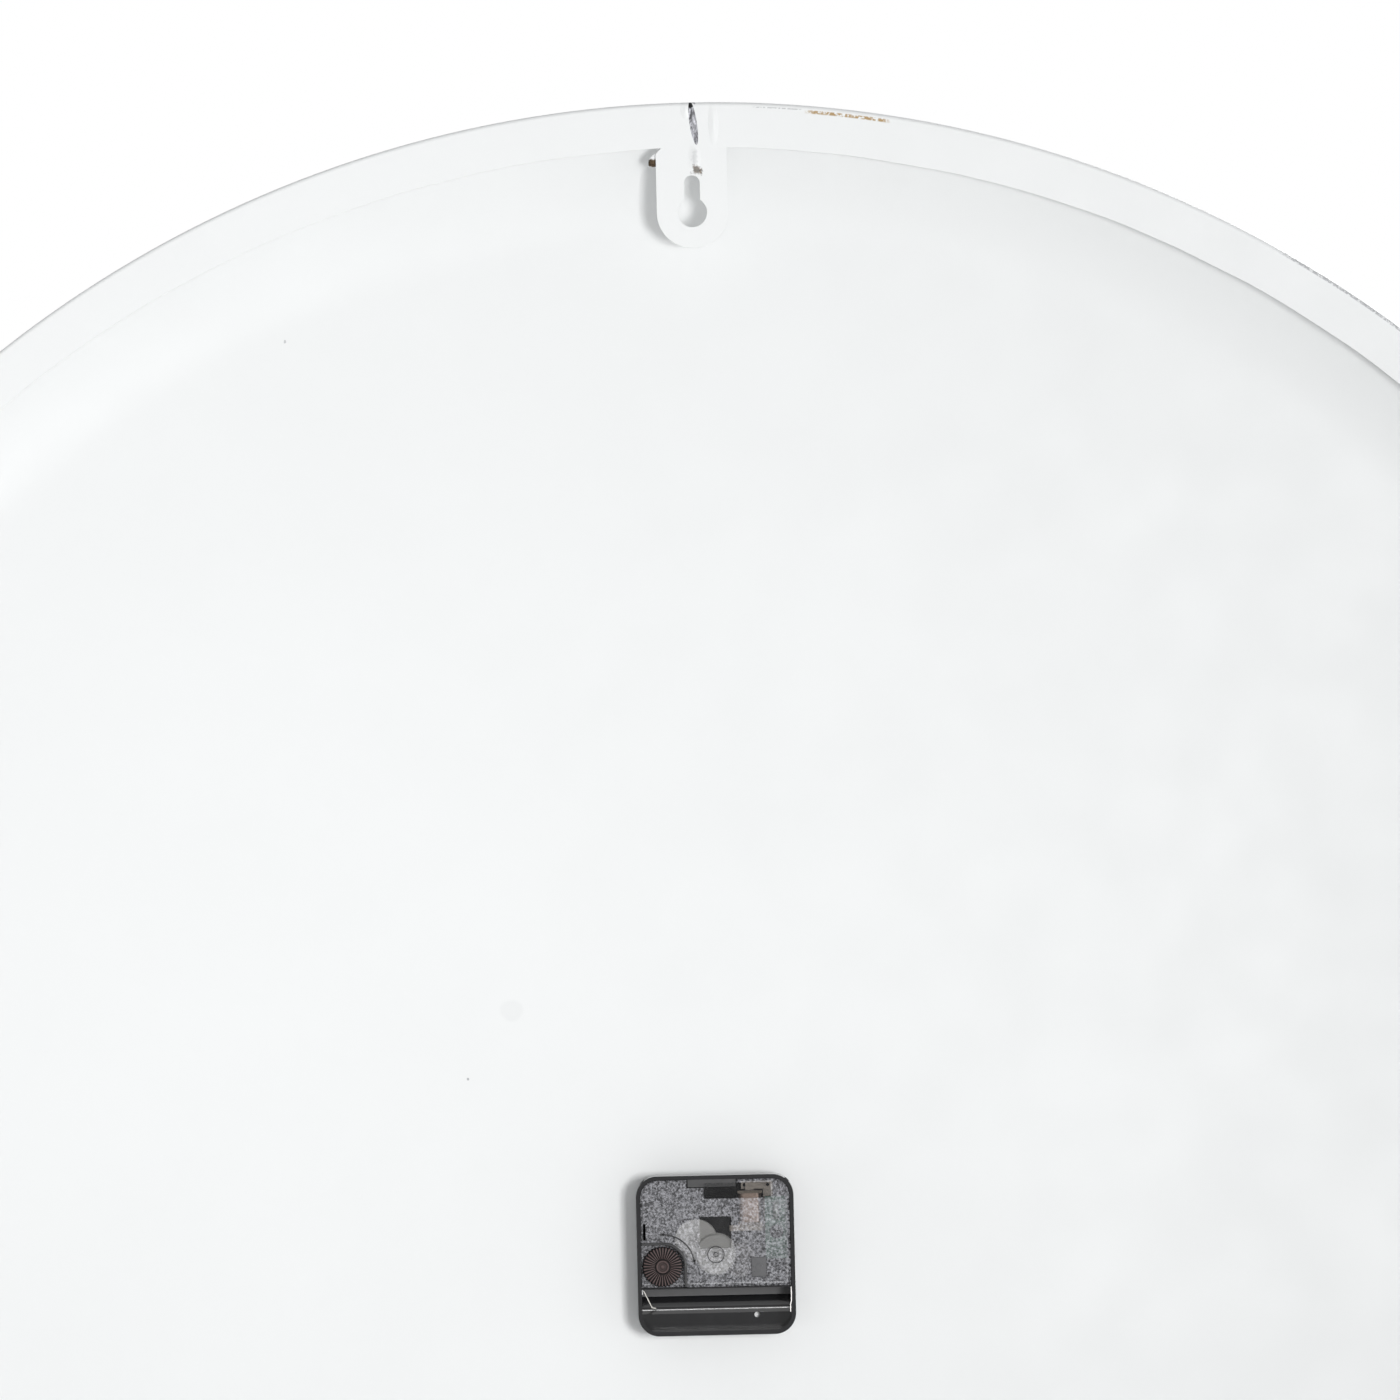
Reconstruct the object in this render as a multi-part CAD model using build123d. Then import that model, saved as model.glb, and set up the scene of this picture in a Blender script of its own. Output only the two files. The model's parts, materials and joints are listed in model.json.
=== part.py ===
from build123d import *
import math
import os

# A large wall clock: a white sheet-metal pan with a keyhole hanger, and a quartz movement on its back.
# It is modelled lying on its wall plane: x to the right and y to twelve o'clock as seen from the front,
# z forward from the wall. It is stood up when it is written, with the front facing -Y.

# Pan, rear ring and hanger, in millimetres
CLOCK_RADIUS = 406.5
DIAL_DEPTH = 20.0
PAN_SHEET = 1.0
EDGE_WIDTH = 46.5
RING_WIDTH = 16.0
RING_SHEET = 1.5
RING_KERF = 0.6
TAB_WIDTH = 25.0
TAB_REACH = 35.4
WELD_GAP = 0.2
KEYHOLE_RADIUS = 5.2
KEYHOLE_SLOT = 5.7
KEYHOLE_RISE = 10.2
STRAP_SHEET = 1.5
STRAP_LAP = 6.5
STRAP_RING_LAP = 8.0
STRAP_PEEK = 2.6
STRAP_INSET = 2.0

# Movement: walls and cover
CASE_WALL = 1.4
CASE_CORNER = 7.5
FRONT_WALL = 1.0
COVER_SHEET = 1.2
COVER_PLAY = 0.15
LEDGE = 0.8
CUSHION_SHEET = 1.0
CUSHION_RADIUS = 11.0
LATCH_WIDTH = 17.6
LATCH_REACH = 3.0
LATCH_OFFSET = 1.0
LATCH_SINK = 0.4
LATCH_DEPTH = 3.0
LATCH_PLAY = 0.3
SLIT_WIDTH = 0.9
SLIT_LENGTH = 5.8
SLIT_HEIGHT = 8.4
SLIT_INSET = 0.7
POCKET_WIDTH = 5.6
POCKET_HEIGHT = 7.2
POCKET_DEPTH = 0.7
POCKET_AT = (-15.1, -4.7)

# Battery bay, for one AA cell lying across the case
CELL_RADIUS = 7.25
CELL_LENGTH = 50.5
CELL_SIDE_PLAY = 0.25
CELL_SINK = 0.05
CRADLE_PLAY = 0.35
CONTACT_ROOM = 2.2
BAY_WALL = 1.2
BAY_LIP = 0.4
BAY_FLOOR = 1.1
BAY_STEP = 2.0
BOTTOM_WALL = 1.6
CRADLE_FLOOR = 0.6
BAY_HOLE_RADIUS = 1.0
BAY_HOLE_AT = (-14.1, -22.2)

# Layers of the movement, from the rear cover forward
PIVOT_ROOM = 1.1
LAYER_GAP = 0.8
WHEEL_SHEET = 0.8
PLATE_SHEET = 0.8
MOTION_SHEET = 1.0
HOUR_SHEET = 1.2
HOUR_HUB = 1.6
END_PLAY = 0.2

# Gear teeth
PRESSURE_ANGLE = math.radians(25)
ADDENDUM = 0.8
DEDENDUM = 1.05
BACKLASH = 0.22
ROTOR_TEETH = 10
FIFTH_TEETH = 60
FIFTH_PINION_TEETH = 10
SECONDS_TEETH = 50
SECONDS_PINION_TEETH = 10
THIRD_TEETH = 80
THIRD_PINION_TEETH = 10
CENTRE_TEETH = 75
CANNON_TEETH = 12
MOTION_TEETH = 36
MOTION_PINION_TEETH = 10
HOUR_TEETH = 40
SETTING_TEETH = 10

# Where the arbors stand: distances between centres, and directions from the x axis
MOTION_DISTANCE = 10.8
MOTION_ANGLE = math.radians(11.7)
SETTING_ANGLE = math.radians(-36.4)
THIRD_DISTANCE = 8.46
THIRD_ANGLE = math.radians(35.4)
FIFTH_DISTANCE = 8.4
FIFTH_ANGLE = math.radians(196.0)
ROTOR_DISTANCE = 7.0
ROTOR_ANGLE = math.radians(109.4)

# Arbors, bores and running clearances
RUNNING_PLAY = 0.08
PRESS_PLAY = 0.03
PIVOT_RADIUS = 0.35
PIVOT_PLAY = 0.06
PIVOT_DEPTH = 0.6
PIVOT_BOSS = 0.5
PIVOT_BOSS_RADIUS = 1.3
STEM_RADIUS = 0.45
SECONDS_ARBOR_RADIUS = 0.6
CLUTCH_RADIUS = 1.2
CLUTCH_HUB_RADIUS = 2.2
MINUTE_RADIUS = 1.75
HOUR_TUBE_RADIUS = 2.5
HOUR_HUB_RADIUS = 3.2
MOTION_POST_RADIUS = 0.8
MOTION_BOSS_RADIUS = 1.5
SETTING_RADIUS = 1.5
SETTING_SPIGOT_RADIUS = 1.0
SETTING_BOSS_RADIUS = 2.2
SETTING_PIVOT = 2.4

# Setting knob and the tray that it lies in
KNOB_RADIUS = 7.2
KNOB_HEIGHT = 2.2
KNOB_RIBS = 36
KNOB_RIB_DEPTH = 0.35
KNOB_SINK = 0.2
KNOB_SKIN = 0.5
KNOB_WALL_GAP = 0.3
KNOB_FLOOR_GAP = 0.25
TRAY_RADIUS = 8.6
TRAY_WALL = 0.8
TRAY_FLOOR = 0.8

# Stepping motor
MAGNET_RADIUS = 3.0
MAGNET_HEIGHT = 2.0
MAGNET_GAP = 0.25
ROTOR_AIR_GAP = 0.4
STATOR_SHEET = 1.4
POLE_RIM = 2.1
POLE_SPAN = 13.0
POLE_DEPTH = 4.8
SIDE_ARM = 3.4
TOP_BAR = 2.8
CORE_WIDTH = 3.0
CORE_LAP = 1.6
COIL_OFFSET = -2.0
BOBBIN_LENGTH = 12.2
BOBBIN_WALL = 0.6
BOBBIN_PLAY = 0.1
BOBBIN_FLANGE = 1.0
BOBBIN_FLANGE_WIDTH = 8.6
BOBBIN_FLANGE_DEPTH = 8.0
WINDING_WIDTH = 8.0
WINDING_DEPTH = 7.4
WINDING_CORNER = 1.6
COIL_END_GAP = 0.2
MOTOR_GAP = 0.4
STATOR_POST_RADIUS = 1.2
STATOR_SPIGOT_RADIUS = 0.6

# Circuit board and contacts
BOARD_SHEET = 1.0
BOARD_DEPTH = 4.5
BOARD_WIDTH = 7.9
BOARD_LOW = -2.0
BOARD_HIGH = 20.0
BOARD_WALL_GAP = 0.1
BOARD_TAB = 1.8
BOARD_POST_RADIUS = 1.3
BOARD_POST_INSET = 2.2
CHIP_RADIUS = 2.4
CHIP_HEIGHT = 1.0
CHIP_ROUNDNESS = 0.9
CHIP_AT_HEIGHT = 7.5
CRYSTAL_RADIUS = 1.0
CRYSTAL_LENGTH = 6.0
CRYSTAL_AT_HEIGHT = 15.0
STRIP = 0.3
STRIP_WIDTH = 5.6
LEAD_WIDTH = 1.8
ANCHOR_REACH = 2.0
LEAF_ROOT_GAP = 0.3
LEAF_SPREAD = 2.85
LEAF_DROP = 6.0
LEAF_CURL = 1.4
LEAF_CURL_DROP = 0.3
CONTACT_BUMP = 0.35
CONTACT_SPREAD = 1.3
PLATE_POSTS = ((-3.0, 16.0), (22.0, 14.0), (-17.5, -7.0))
PLATE_POST_RADIUS = 1.6
PLATE_SPIGOT_RADIUS = 1.0
PLATE_RIM = 2.0

# Bushing and its clamp on the dial
BUSHING_RADIUS = 4.0
BUSHING_FLANGE = 1.0
BUSHING_FLANGE_RADIUS = 6.0
BUSHING_REACH = 4.5
BUSHING_PLAY = 0.08
WASHER_SHEET = 0.5
WASHER_RADIUS = 7.5
NUT_FLATS = 11.0
NUT_HEIGHT = 2.5

# Hands, at ten past ten
MINUTE_HAND_ANGLE = 60.0
HOUR_HAND_ANGLE = 305.0
HAND_SHEET = 0.6
HAND_GAP = 0.5
HAND_STANDOFF = 2.4
HAND_HUB_RADIUS = 13.0
MINUTE_HAND_LENGTH = 300.0
MINUTE_HAND_TAIL = 75.0
MINUTE_HAND_WIDTH = 15.0
MINUTE_HAND_TIP = 6.0
HOUR_HAND_LENGTH = 205.0
HOUR_HAND_TAIL = 60.0
HOUR_HAND_WIDTH = 20.0
HOUR_HAND_TIP = 9.0
BUSH_COLLAR = 0.6
BUSH_LIP = 0.4
BUSH_WALL = 1.5
BUSH_RIM = 0.8
SPIGOT_RADIUS = 1.4
SPIGOT_FLATS = 2.0
SPIGOT_LENGTH = 3.0
HAND_NUT_RADIUS = 3.4
HAND_NUT_HEIGHT = 2.8
HAND_NUT_ROUNDNESS = 0.33

# Overshoot of a cut past the face that it opens
CUT = 1.0


def polar(distance, angle):
    """The point at this distance and direction from the clock's axis."""
    return (distance * math.cos(angle), distance * math.sin(angle))


def shifted(point, distance, angle):
    """A point at this distance and direction from another point."""
    step = polar(distance, angle)
    return (point[0] + step[0], point[1] + step[1])


def module_of(distance, teeth, mate_teeth):
    """The tooth module that puts two gears at this distance."""
    return 2 * distance / (teeth + mate_teeth)


def mating_phase(phase, teeth, mate_teeth, direction):
    """The phase of a mate in this direction whose gap meets the first gear's tooth."""
    return direction + math.pi + math.pi / mate_teeth - (phase - direction) * teeth / mate_teeth


# Levels, counted forward from the wall plane
dial_back = DIAL_DEPTH - PAN_SHEET
case_front = dial_back - CUSHION_SHEET
train_depth = (
    COVER_SHEET + PIVOT_ROOM + 3 * (WHEEL_SHEET + LAYER_GAP) + PLATE_SHEET + LAYER_GAP + MOTION_SHEET
    + LAYER_GAP + HOUR_SHEET + HOUR_HUB + END_PLAY + BUSHING_FLANGE + FRONT_WALL
)
cell_depth = CELL_SINK + 2 * CELL_RADIUS + CRADLE_PLAY + CRADLE_FLOOR
case_rear = case_front - max(train_depth, cell_depth)
case_inner = case_front - FRONT_WALL
cover_front = case_rear + COVER_SHEET
seconds_low = cover_front + PIVOT_ROOM
seconds_high = seconds_low + WHEEL_SHEET
third_low = seconds_high + LAYER_GAP
third_high = third_low + WHEEL_SHEET
centre_low = third_high + LAYER_GAP
centre_high = centre_low + WHEEL_SHEET
plate_low = centre_high + LAYER_GAP
plate_high = plate_low + PLATE_SHEET
motion_low = plate_high + LAYER_GAP
motion_high = motion_low + MOTION_SHEET
hour_low = motion_high + LAYER_GAP
hour_high = hour_low + HOUR_SHEET
flange_low = case_inner - BUSHING_FLANGE
boss_end = cover_front + PIVOT_BOSS
shoulder = boss_end + END_PLAY
magnet_low = plate_high + MAGNET_GAP
magnet_high = magnet_low + MAGNET_HEIGHT
stator_low = (magnet_low + magnet_high - STATOR_SHEET) / 2
stator_high = stator_low + STATOR_SHEET
core_low = stator_low - STATOR_SHEET
core_mid = (core_low + stator_low) / 2
rotor_boss_end = magnet_high + 2 * END_PLAY
knob_rear = case_rear + KNOB_SINK
knob_front = knob_rear + KNOB_HEIGHT
tray_floor = knob_front + KNOB_FLOOR_GAP
tray_front = tray_floor + TRAY_FLOOR
board_low = case_rear + BOARD_DEPTH
board_high = board_low + BOARD_SHEET
seconds_arbor_end = DIAL_DEPTH
nut_low = DIAL_DEPTH + WASHER_SHEET
bushing_end = DIAL_DEPTH + BUSHING_REACH
hour_bush_low = bushing_end + HAND_GAP
hour_blade_low = hour_bush_low + BUSH_COLLAR
hour_bush_high = hour_blade_low + HAND_SHEET + BUSH_LIP
minute_bush_low = hour_bush_high + HAND_STANDOFF
minute_blade_low = minute_bush_low + BUSH_COLLAR
minute_bush_high = minute_blade_low + HAND_SHEET + BUSH_LIP

# Centres of the arbors and tooth sizes
CENTRE = (0.0, 0.0)
setting_module = module_of(MOTION_DISTANCE, CANNON_TEETH, MOTION_TEETH)
hour_module = module_of(MOTION_DISTANCE, MOTION_PINION_TEETH, HOUR_TEETH)
third_module = module_of(THIRD_DISTANCE, SECONDS_PINION_TEETH, THIRD_TEETH)
centre_module = module_of(THIRD_DISTANCE, THIRD_PINION_TEETH, CENTRE_TEETH)
seconds_module = module_of(FIFTH_DISTANCE, FIFTH_PINION_TEETH, SECONDS_TEETH)
rotor_module = module_of(ROTOR_DISTANCE, ROTOR_TEETH, FIFTH_TEETH)
setting_distance = setting_module * (SETTING_TEETH + MOTION_TEETH) / 2
motion_at = polar(MOTION_DISTANCE, MOTION_ANGLE)
knob_at = shifted(motion_at, setting_distance, SETTING_ANGLE)
third_at = polar(THIRD_DISTANCE, THIRD_ANGLE)
fifth_at = polar(FIFTH_DISTANCE, FIFTH_ANGLE)
rotor_at = shifted(fifth_at, ROTOR_DISTANCE, ROTOR_ANGLE)
motion_phase = mating_phase(0, CANNON_TEETH, MOTION_TEETH, MOTION_ANGLE)
hour_phase = mating_phase(0, MOTION_PINION_TEETH, HOUR_TEETH, MOTION_ANGLE + math.pi)
setting_phase = mating_phase(motion_phase, MOTION_TEETH, SETTING_TEETH, SETTING_ANGLE)
third_phase = mating_phase(0, SECONDS_PINION_TEETH, THIRD_TEETH, THIRD_ANGLE)
centre_phase = mating_phase(0, THIRD_PINION_TEETH, CENTRE_TEETH, THIRD_ANGLE + math.pi)
fifth_phase = mating_phase(0, SECONDS_TEETH, FIFTH_PINION_TEETH, FIFTH_ANGLE)
rotor_phase = mating_phase(0, FIFTH_TEETH, ROTOR_TEETH, ROTOR_ANGLE)

# Motor outline, built up from the rotor
rotor_hole = MAGNET_RADIUS + ROTOR_AIR_GAP
pole_top = rotor_at[1] + rotor_hole + POLE_RIM
pole_bottom = rotor_at[1] - POLE_DEPTH
pole_left = rotor_at[0] - POLE_SPAN / 2
pole_right = rotor_at[0] + POLE_SPAN / 2
coil_x = rotor_at[0] + COIL_OFFSET
bobbin_low = pole_top + COIL_END_GAP
bobbin_high = bobbin_low + BOBBIN_LENGTH
bar_low = bobbin_high + MOTOR_GAP
bar_high = bar_low + TOP_BAR
arm_right = coil_x - BOBBIN_FLANGE_WIDTH / 2 - MOTOR_GAP
arm_left = arm_right - SIDE_ARM
stator_posts = (
    (arm_left + SIDE_ARM / 2, bar_low + TOP_BAR / 2),
    (arm_left + SIDE_ARM / 2, rotor_at[1]),
    (coil_x + CORE_WIDTH - STATOR_POST_RADIUS, bar_low + TOP_BAR / 2),
)

# Case outline, built up from what it holds
bay_top = KNOB_RADIUS - knob_at[1] + KNOB_WALL_GAP + BAY_LIP
cell_drop = bay_top + CELL_RADIUS + CELL_SIDE_PLAY
cell_mid = case_rear + CELL_SINK + CELL_RADIUS
cradle_radius = CELL_RADIUS + CRADLE_PLAY
bay_bottom = cell_drop + CELL_RADIUS + CELL_SIDE_PLAY
inner_half_width = max((CELL_LENGTH + CONTACT_ROOM) / 2, knob_at[0] + KNOB_RADIUS + KNOB_WALL_GAP)
case_half_width = inner_half_width + CASE_WALL
case_top = bar_high + MOTOR_GAP + LEDGE + CASE_WALL
case_bottom = bay_bottom + BOTTOM_WALL
bay_wall_inner = BAY_WALL - bay_top
cover_edge = BAY_LIP - bay_top
chamber_half_width = inner_half_width - LEDGE
board_left = -chamber_half_width + BOARD_WALL_GAP
board_right = board_left + BOARD_WIDTH
board_mid = (board_left + board_right) / 2
board_posts = (
    (board_left + BOARD_POST_INSET, BOARD_LOW + BOARD_POST_INSET),
    (board_left + BOARD_POST_INSET, BOARD_HIGH - BOARD_POST_INSET),
)
strip_low = cell_mid - STRIP_WIDTH / 2
strip_high = cell_mid + STRIP_WIDTH / 2
lead_low = strip_high - LEAD_WIDTH
board_lead_low = (board_low + board_high - LEAD_WIDTH) / 2
board_lead_high = board_lead_low + LEAD_WIDTH

# Height of the keyhole's round entry above the clock's axis
ring_inner = CLOCK_RADIUS - RING_WIDTH
keyhole_height = ring_inner - TAB_REACH + TAB_WIDTH / 2


def disc(radius, low, high, at=CENTRE):
    """A round bar along z from low to high."""
    bar = Cylinder(radius, high - low, align=(Align.CENTER, Align.CENTER, Align.MIN))
    return Pos(at[0], at[1], low) * bar


def block(left, right, bottom, top, low, high):
    """A box between these faces."""
    middle = Pos((left + right) / 2, (bottom + top) / 2, (low + high) / 2)
    return middle * Box(right - left, top - bottom, high - low)


def area(left, right, bottom, top):
    """A flat rectangle between these edges."""
    return Pos((left + right) / 2, (bottom + top) / 2) * Rectangle(right - left, top - bottom)


def slab(sketch, low, high):
    """A sheet of this outline from low to high."""
    return extrude(Pos(0, 0, low) * sketch, amount=high - low)


def ribbon(points, thickness, low, high):
    """A bent strip along the points, with mitred corners."""
    left, right = [], []
    for index, point in enumerate(points):
        before = Vector(*points[max(index - 1, 0)])
        after = Vector(*points[min(index + 1, len(points) - 1)])
        here = Vector(*point)
        first = (here - before).normalized() if index else (after - here).normalized()
        last = (after - here).normalized() if index < len(points) - 1 else first
        along = (first + last).normalized()
        side = Vector(-along.Y, along.X) * (thickness / 2 / along.dot(first))
        left.append((here.X + side.X, here.Y + side.Y))
        right.append((here.X - side.X, here.Y - side.Y))
    return slab(Polygon(*left, *reversed(right), align=None), low, high)


def gear(teeth, module, low, high, at=CENTRE, phase=0.0):
    """A spur gear with involute flanks, each drawn by three points."""
    pitch = module * teeth / 2
    base = pitch * math.cos(PRESSURE_ANGLE)
    tip = pitch + ADDENDUM * module
    root = pitch - DEDENDUM * module
    start = max(base, root)
    half_tooth = (math.pi / 2 - BACKLASH) / teeth + math.tan(PRESSURE_ANGLE) - PRESSURE_ANGLE
    flank = []
    for radius in (start, (start + tip) / 2, tip):
        roll = math.acos(min(1.0, base / radius))
        flank.append((radius, half_tooth - math.tan(roll) + roll))
    if root < start:
        flank.insert(0, (root, flank[0][1]))
    points = []
    for tooth in range(teeth):
        middle = phase + 2 * math.pi * tooth / teeth
        points += [polar(radius, middle - angle) for radius, angle in flank]
        points += [polar(radius, middle + angle) for radius, angle in reversed(flank)]
    return Pos(at[0], at[1], 0) * slab(Polygon(*points, align=None), low, high)


def tip_radius(teeth, module):
    """Outer radius of a gear."""
    return module * (teeth / 2 + ADDENDUM)


def case_outline(inset):
    """The case's rounded outline, drawn in by this much."""
    width = 2 * (case_half_width - inset)
    height = case_top + case_bottom - 2 * inset
    return Pos(0, (case_top - case_bottom) / 2) * RectangleRounded(width, height, CASE_CORNER - inset)


def above(sketch, level):
    """The part of a case outline that lies above this level."""
    return sketch & area(-case_half_width, case_half_width, level, case_top)


def tray_outline(grow):
    """The knob's tray: round towards the clock's axis, open to the side wall and the bay's lip."""
    left = knob_at[0] - TRAY_RADIUS - grow
    top = knob_at[1] + TRAY_RADIUS + grow
    outline = Pos(*knob_at) * Circle(TRAY_RADIUS + grow)
    outline += area(knob_at[0], case_half_width, cover_edge, top)
    outline += area(left, case_half_width, cover_edge, knob_at[1])
    return outline


def dial_pan():
    """Spun pan: flat dial whose wide rounded edge ends on the ring."""
    flat = CLOCK_RADIUS - EDGE_WIDTH
    drop = DIAL_DEPTH - RING_SHEET
    edge_radius = (EDGE_WIDTH**2 + drop**2) / (2 * drop)
    edge_middle = (flat, DIAL_DEPTH - edge_radius)
    inner_radius = edge_radius - PAN_SHEET
    rise = RING_SHEET - edge_middle[1]
    inner_width = math.sqrt(inner_radius**2 - rise**2)
    outer_turn = math.degrees(math.atan2(rise, EDGE_WIDTH))
    inner_turn = math.degrees(math.atan2(rise, inner_width))
    bore = BUSHING_RADIUS + BUSHING_PLAY
    edges = [
        Line((bore, DIAL_DEPTH), (flat, DIAL_DEPTH)),
        CenterArc(edge_middle, edge_radius, outer_turn, 90 - outer_turn),
        Line((CLOCK_RADIUS, RING_SHEET), (flat + inner_width, RING_SHEET)),
        CenterArc(edge_middle, inner_radius, inner_turn, 90 - inner_turn),
        Line((flat, dial_back), (bore, dial_back)),
        Line((bore, dial_back), (bore, DIAL_DEPTH)),
    ]
    return revolve(Plane.XZ * make_face(edges), Axis.Z)


def rear_ring():
    """Flat ring on the pan's rear edge, with the kerf of its butt weld at twelve o'clock."""
    ring = Circle(CLOCK_RADIUS) - Circle(ring_inner)
    ring -= area(-RING_KERF / 2, RING_KERF / 2, ring_inner - CUT, CLOCK_RADIUS + CUT)
    return slab(ring, 0, RING_SHEET)


def hanger_plate():
    """Keyhole tab that hangs from the ring's inner edge in the ring's own plane."""
    half = TAB_WIDTH / 2
    tab = Pos(0, keyhole_height) * Circle(half)
    tab += area(-half, half, keyhole_height, ring_inner)
    tab &= Circle(ring_inner - WELD_GAP)
    slot_end = keyhole_height + KEYHOLE_RISE
    tab -= Pos(0, keyhole_height) * Circle(KEYHOLE_RADIUS)
    tab -= Pos(0, slot_end) * Circle(KEYHOLE_SLOT / 2)
    tab -= area(-KEYHOLE_SLOT / 2, KEYHOLE_SLOT / 2, keyhole_height, slot_end)
    return slab(tab, 0, RING_SHEET)


def hanger_strap():
    """Backing strip across the joint of ring and tab."""
    half = TAB_WIDTH / 2
    bottom = ring_inner - STRAP_LAP
    top = ring_inner + STRAP_RING_LAP
    return block(STRAP_INSET - half, half + STRAP_PEEK, bottom, top, RING_SHEET, RING_SHEET + STRAP_SHEET)


def cushion_ring():
    """Rubber ring between case and dial."""
    ring = Circle(CUSHION_RADIUS) - Circle(BUSHING_RADIUS + BUSHING_PLAY)
    return slab(ring, case_front, dial_back)


def bay_room():
    """The space of the battery bay: cradle, sloping ledge and flat floor."""
    slope = cradle_radius * math.sqrt(0.5)
    touch = (slope - cell_drop, cell_mid + slope)
    step = -cell_drop - BAY_STEP
    step_level = cell_mid + math.sqrt(cradle_radius**2 - BAY_STEP**2)
    floor = case_front - BAY_FLOOR
    mouth = case_rear - CUT
    ledge_top = (-bay_top, touch[1] - (-bay_top - touch[0]))
    edges = [
        Line((-bay_top, mouth), ledge_top),
        Line(ledge_top, touch),
        ThreePointArc(touch, (-cell_drop, cell_mid + cradle_radius), (step, step_level)),
        Line((step, step_level), (step, floor)),
        Line((step, floor), (-bay_bottom, floor)),
        Line((-bay_bottom, floor), (-bay_bottom, mouth)),
        Line((-bay_bottom, mouth), (-bay_top, mouth)),
    ]
    prism = extrude(Plane.YZ * make_face(edges), amount=case_half_width, both=True)
    return prism & slab(case_outline(CASE_WALL), mouth, case_front)


def case_posts():
    """What stands up inside the case: posts for plate, stator and board, and bosses for arbors."""
    posts = disc(MOTION_BOSS_RADIUS, hour_high + END_PLAY, case_inner, motion_at)
    posts += disc(MOTION_POST_RADIUS, plate_low, case_inner, motion_at)
    posts += disc(SETTING_BOSS_RADIUS, motion_high + 2 * END_PLAY, case_inner, knob_at)
    posts -= disc(SETTING_SPIGOT_RADIUS + RUNNING_PLAY, motion_high, case_inner, knob_at)
    posts += disc(PIVOT_BOSS_RADIUS, rotor_boss_end, case_inner, rotor_at)
    posts -= disc(PIVOT_RADIUS + PIVOT_PLAY, rotor_boss_end, rotor_boss_end + 2 * PIVOT_DEPTH, rotor_at)
    for at in PLATE_POSTS:
        posts += disc(PLATE_POST_RADIUS, plate_high, case_inner, at)
        posts += disc(PLATE_SPIGOT_RADIUS, plate_low, case_inner, at)
    for at in stator_posts:
        posts += disc(STATOR_POST_RADIUS, stator_high, case_inner, at)
        posts += disc(STATOR_SPIGOT_RADIUS, stator_low, case_inner, at)
    for at in board_posts:
        posts += disc(BOARD_POST_RADIUS, board_high, case_inner, at)
    return posts


def movement_case():
    """Black moulded case: gear chamber above, battery bay below."""
    seat = above(case_outline(CASE_WALL), cover_edge)
    chamber = above(case_outline(CASE_WALL + LEDGE), bay_wall_inner)
    tray = above(case_outline(CASE_WALL) & tray_outline(TRAY_WALL + COVER_PLAY), cover_edge)
    case = slab(case_outline(0), case_rear, case_front)
    case -= slab(seat, case_rear - CUT, cover_front)
    case -= slab(chamber, cover_front, case_inner)
    case -= slab(tray, case_rear - CUT, tray_front + COVER_PLAY)
    case -= bay_room()
    case -= disc(BUSHING_RADIUS + BUSHING_PLAY, case_inner - CUT, case_front + CUT)
    case -= disc(BAY_HOLE_RADIUS, cell_mid, case_front + CUT, BAY_HOLE_AT)
    for side, low, high, top in (
        (-1, board_lead_low, board_lead_high, BOARD_LOW + BOARD_TAB),
        (1, strip_low, strip_high, bay_wall_inner + STRIP),
    ):
        outer, inner = sorted((side * inner_half_width, side * chamber_half_width))
        case -= block(outer, inner, -bay_top - CUT, top + COVER_PLAY, low - COVER_PLAY, high + COVER_PLAY)
    latch_half = LATCH_WIDTH / 2 - LATCH_PLAY
    latch = block(
        LATCH_OFFSET - latch_half, LATCH_OFFSET + latch_half,
        case_top - CASE_WALL - LATCH_REACH + LATCH_PLAY, case_top - CASE_WALL,
        case_rear + LATCH_SINK, case_rear + LATCH_DEPTH,
    )
    return case + latch + case_posts()


def rear_cover():
    """Smoky cover with the knob's tray and the rear pivot seats."""
    sheet = above(case_outline(CASE_WALL + COVER_PLAY), cover_edge + COVER_PLAY)
    notch_bottom = case_top - CASE_WALL - LATCH_REACH
    notch_half = LATCH_WIDTH / 2
    sheet -= area(LATCH_OFFSET - notch_half, LATCH_OFFSET + notch_half, notch_bottom, case_top)
    slit_right = inner_half_width - COVER_PLAY - SLIT_INSET
    slit_low = SLIT_HEIGHT - SLIT_LENGTH / 2
    slit = area(slit_right - SLIT_WIDTH, slit_right, slit_low, slit_low + SLIT_LENGTH)
    cover = slab(sheet - slit, case_rear, cover_front)
    cover += slab(sheet & tray_outline(TRAY_WALL), case_rear, tray_front)
    cover -= slab(tray_outline(0), case_rear - CUT, tray_floor)
    cover -= disc(SETTING_RADIUS + RUNNING_PLAY, tray_floor - CUT, tray_front + CUT, knob_at)
    for at in (CENTRE, third_at, fifth_at, rotor_at):
        cover += disc(PIVOT_BOSS_RADIUS, cover_front, boss_end, at)
        cover -= disc(PIVOT_RADIUS + PIVOT_PLAY, cover_front - PIVOT_DEPTH, boss_end, at)
    pocket_x, pocket_y = POCKET_AT
    cover -= block(
        pocket_x - POCKET_WIDTH / 2, pocket_x + POCKET_WIDTH / 2,
        pocket_y - POCKET_HEIGHT / 2, pocket_y + POCKET_HEIGHT / 2,
        case_rear - CUT, case_rear + POCKET_DEPTH,
    )
    return cover


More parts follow.
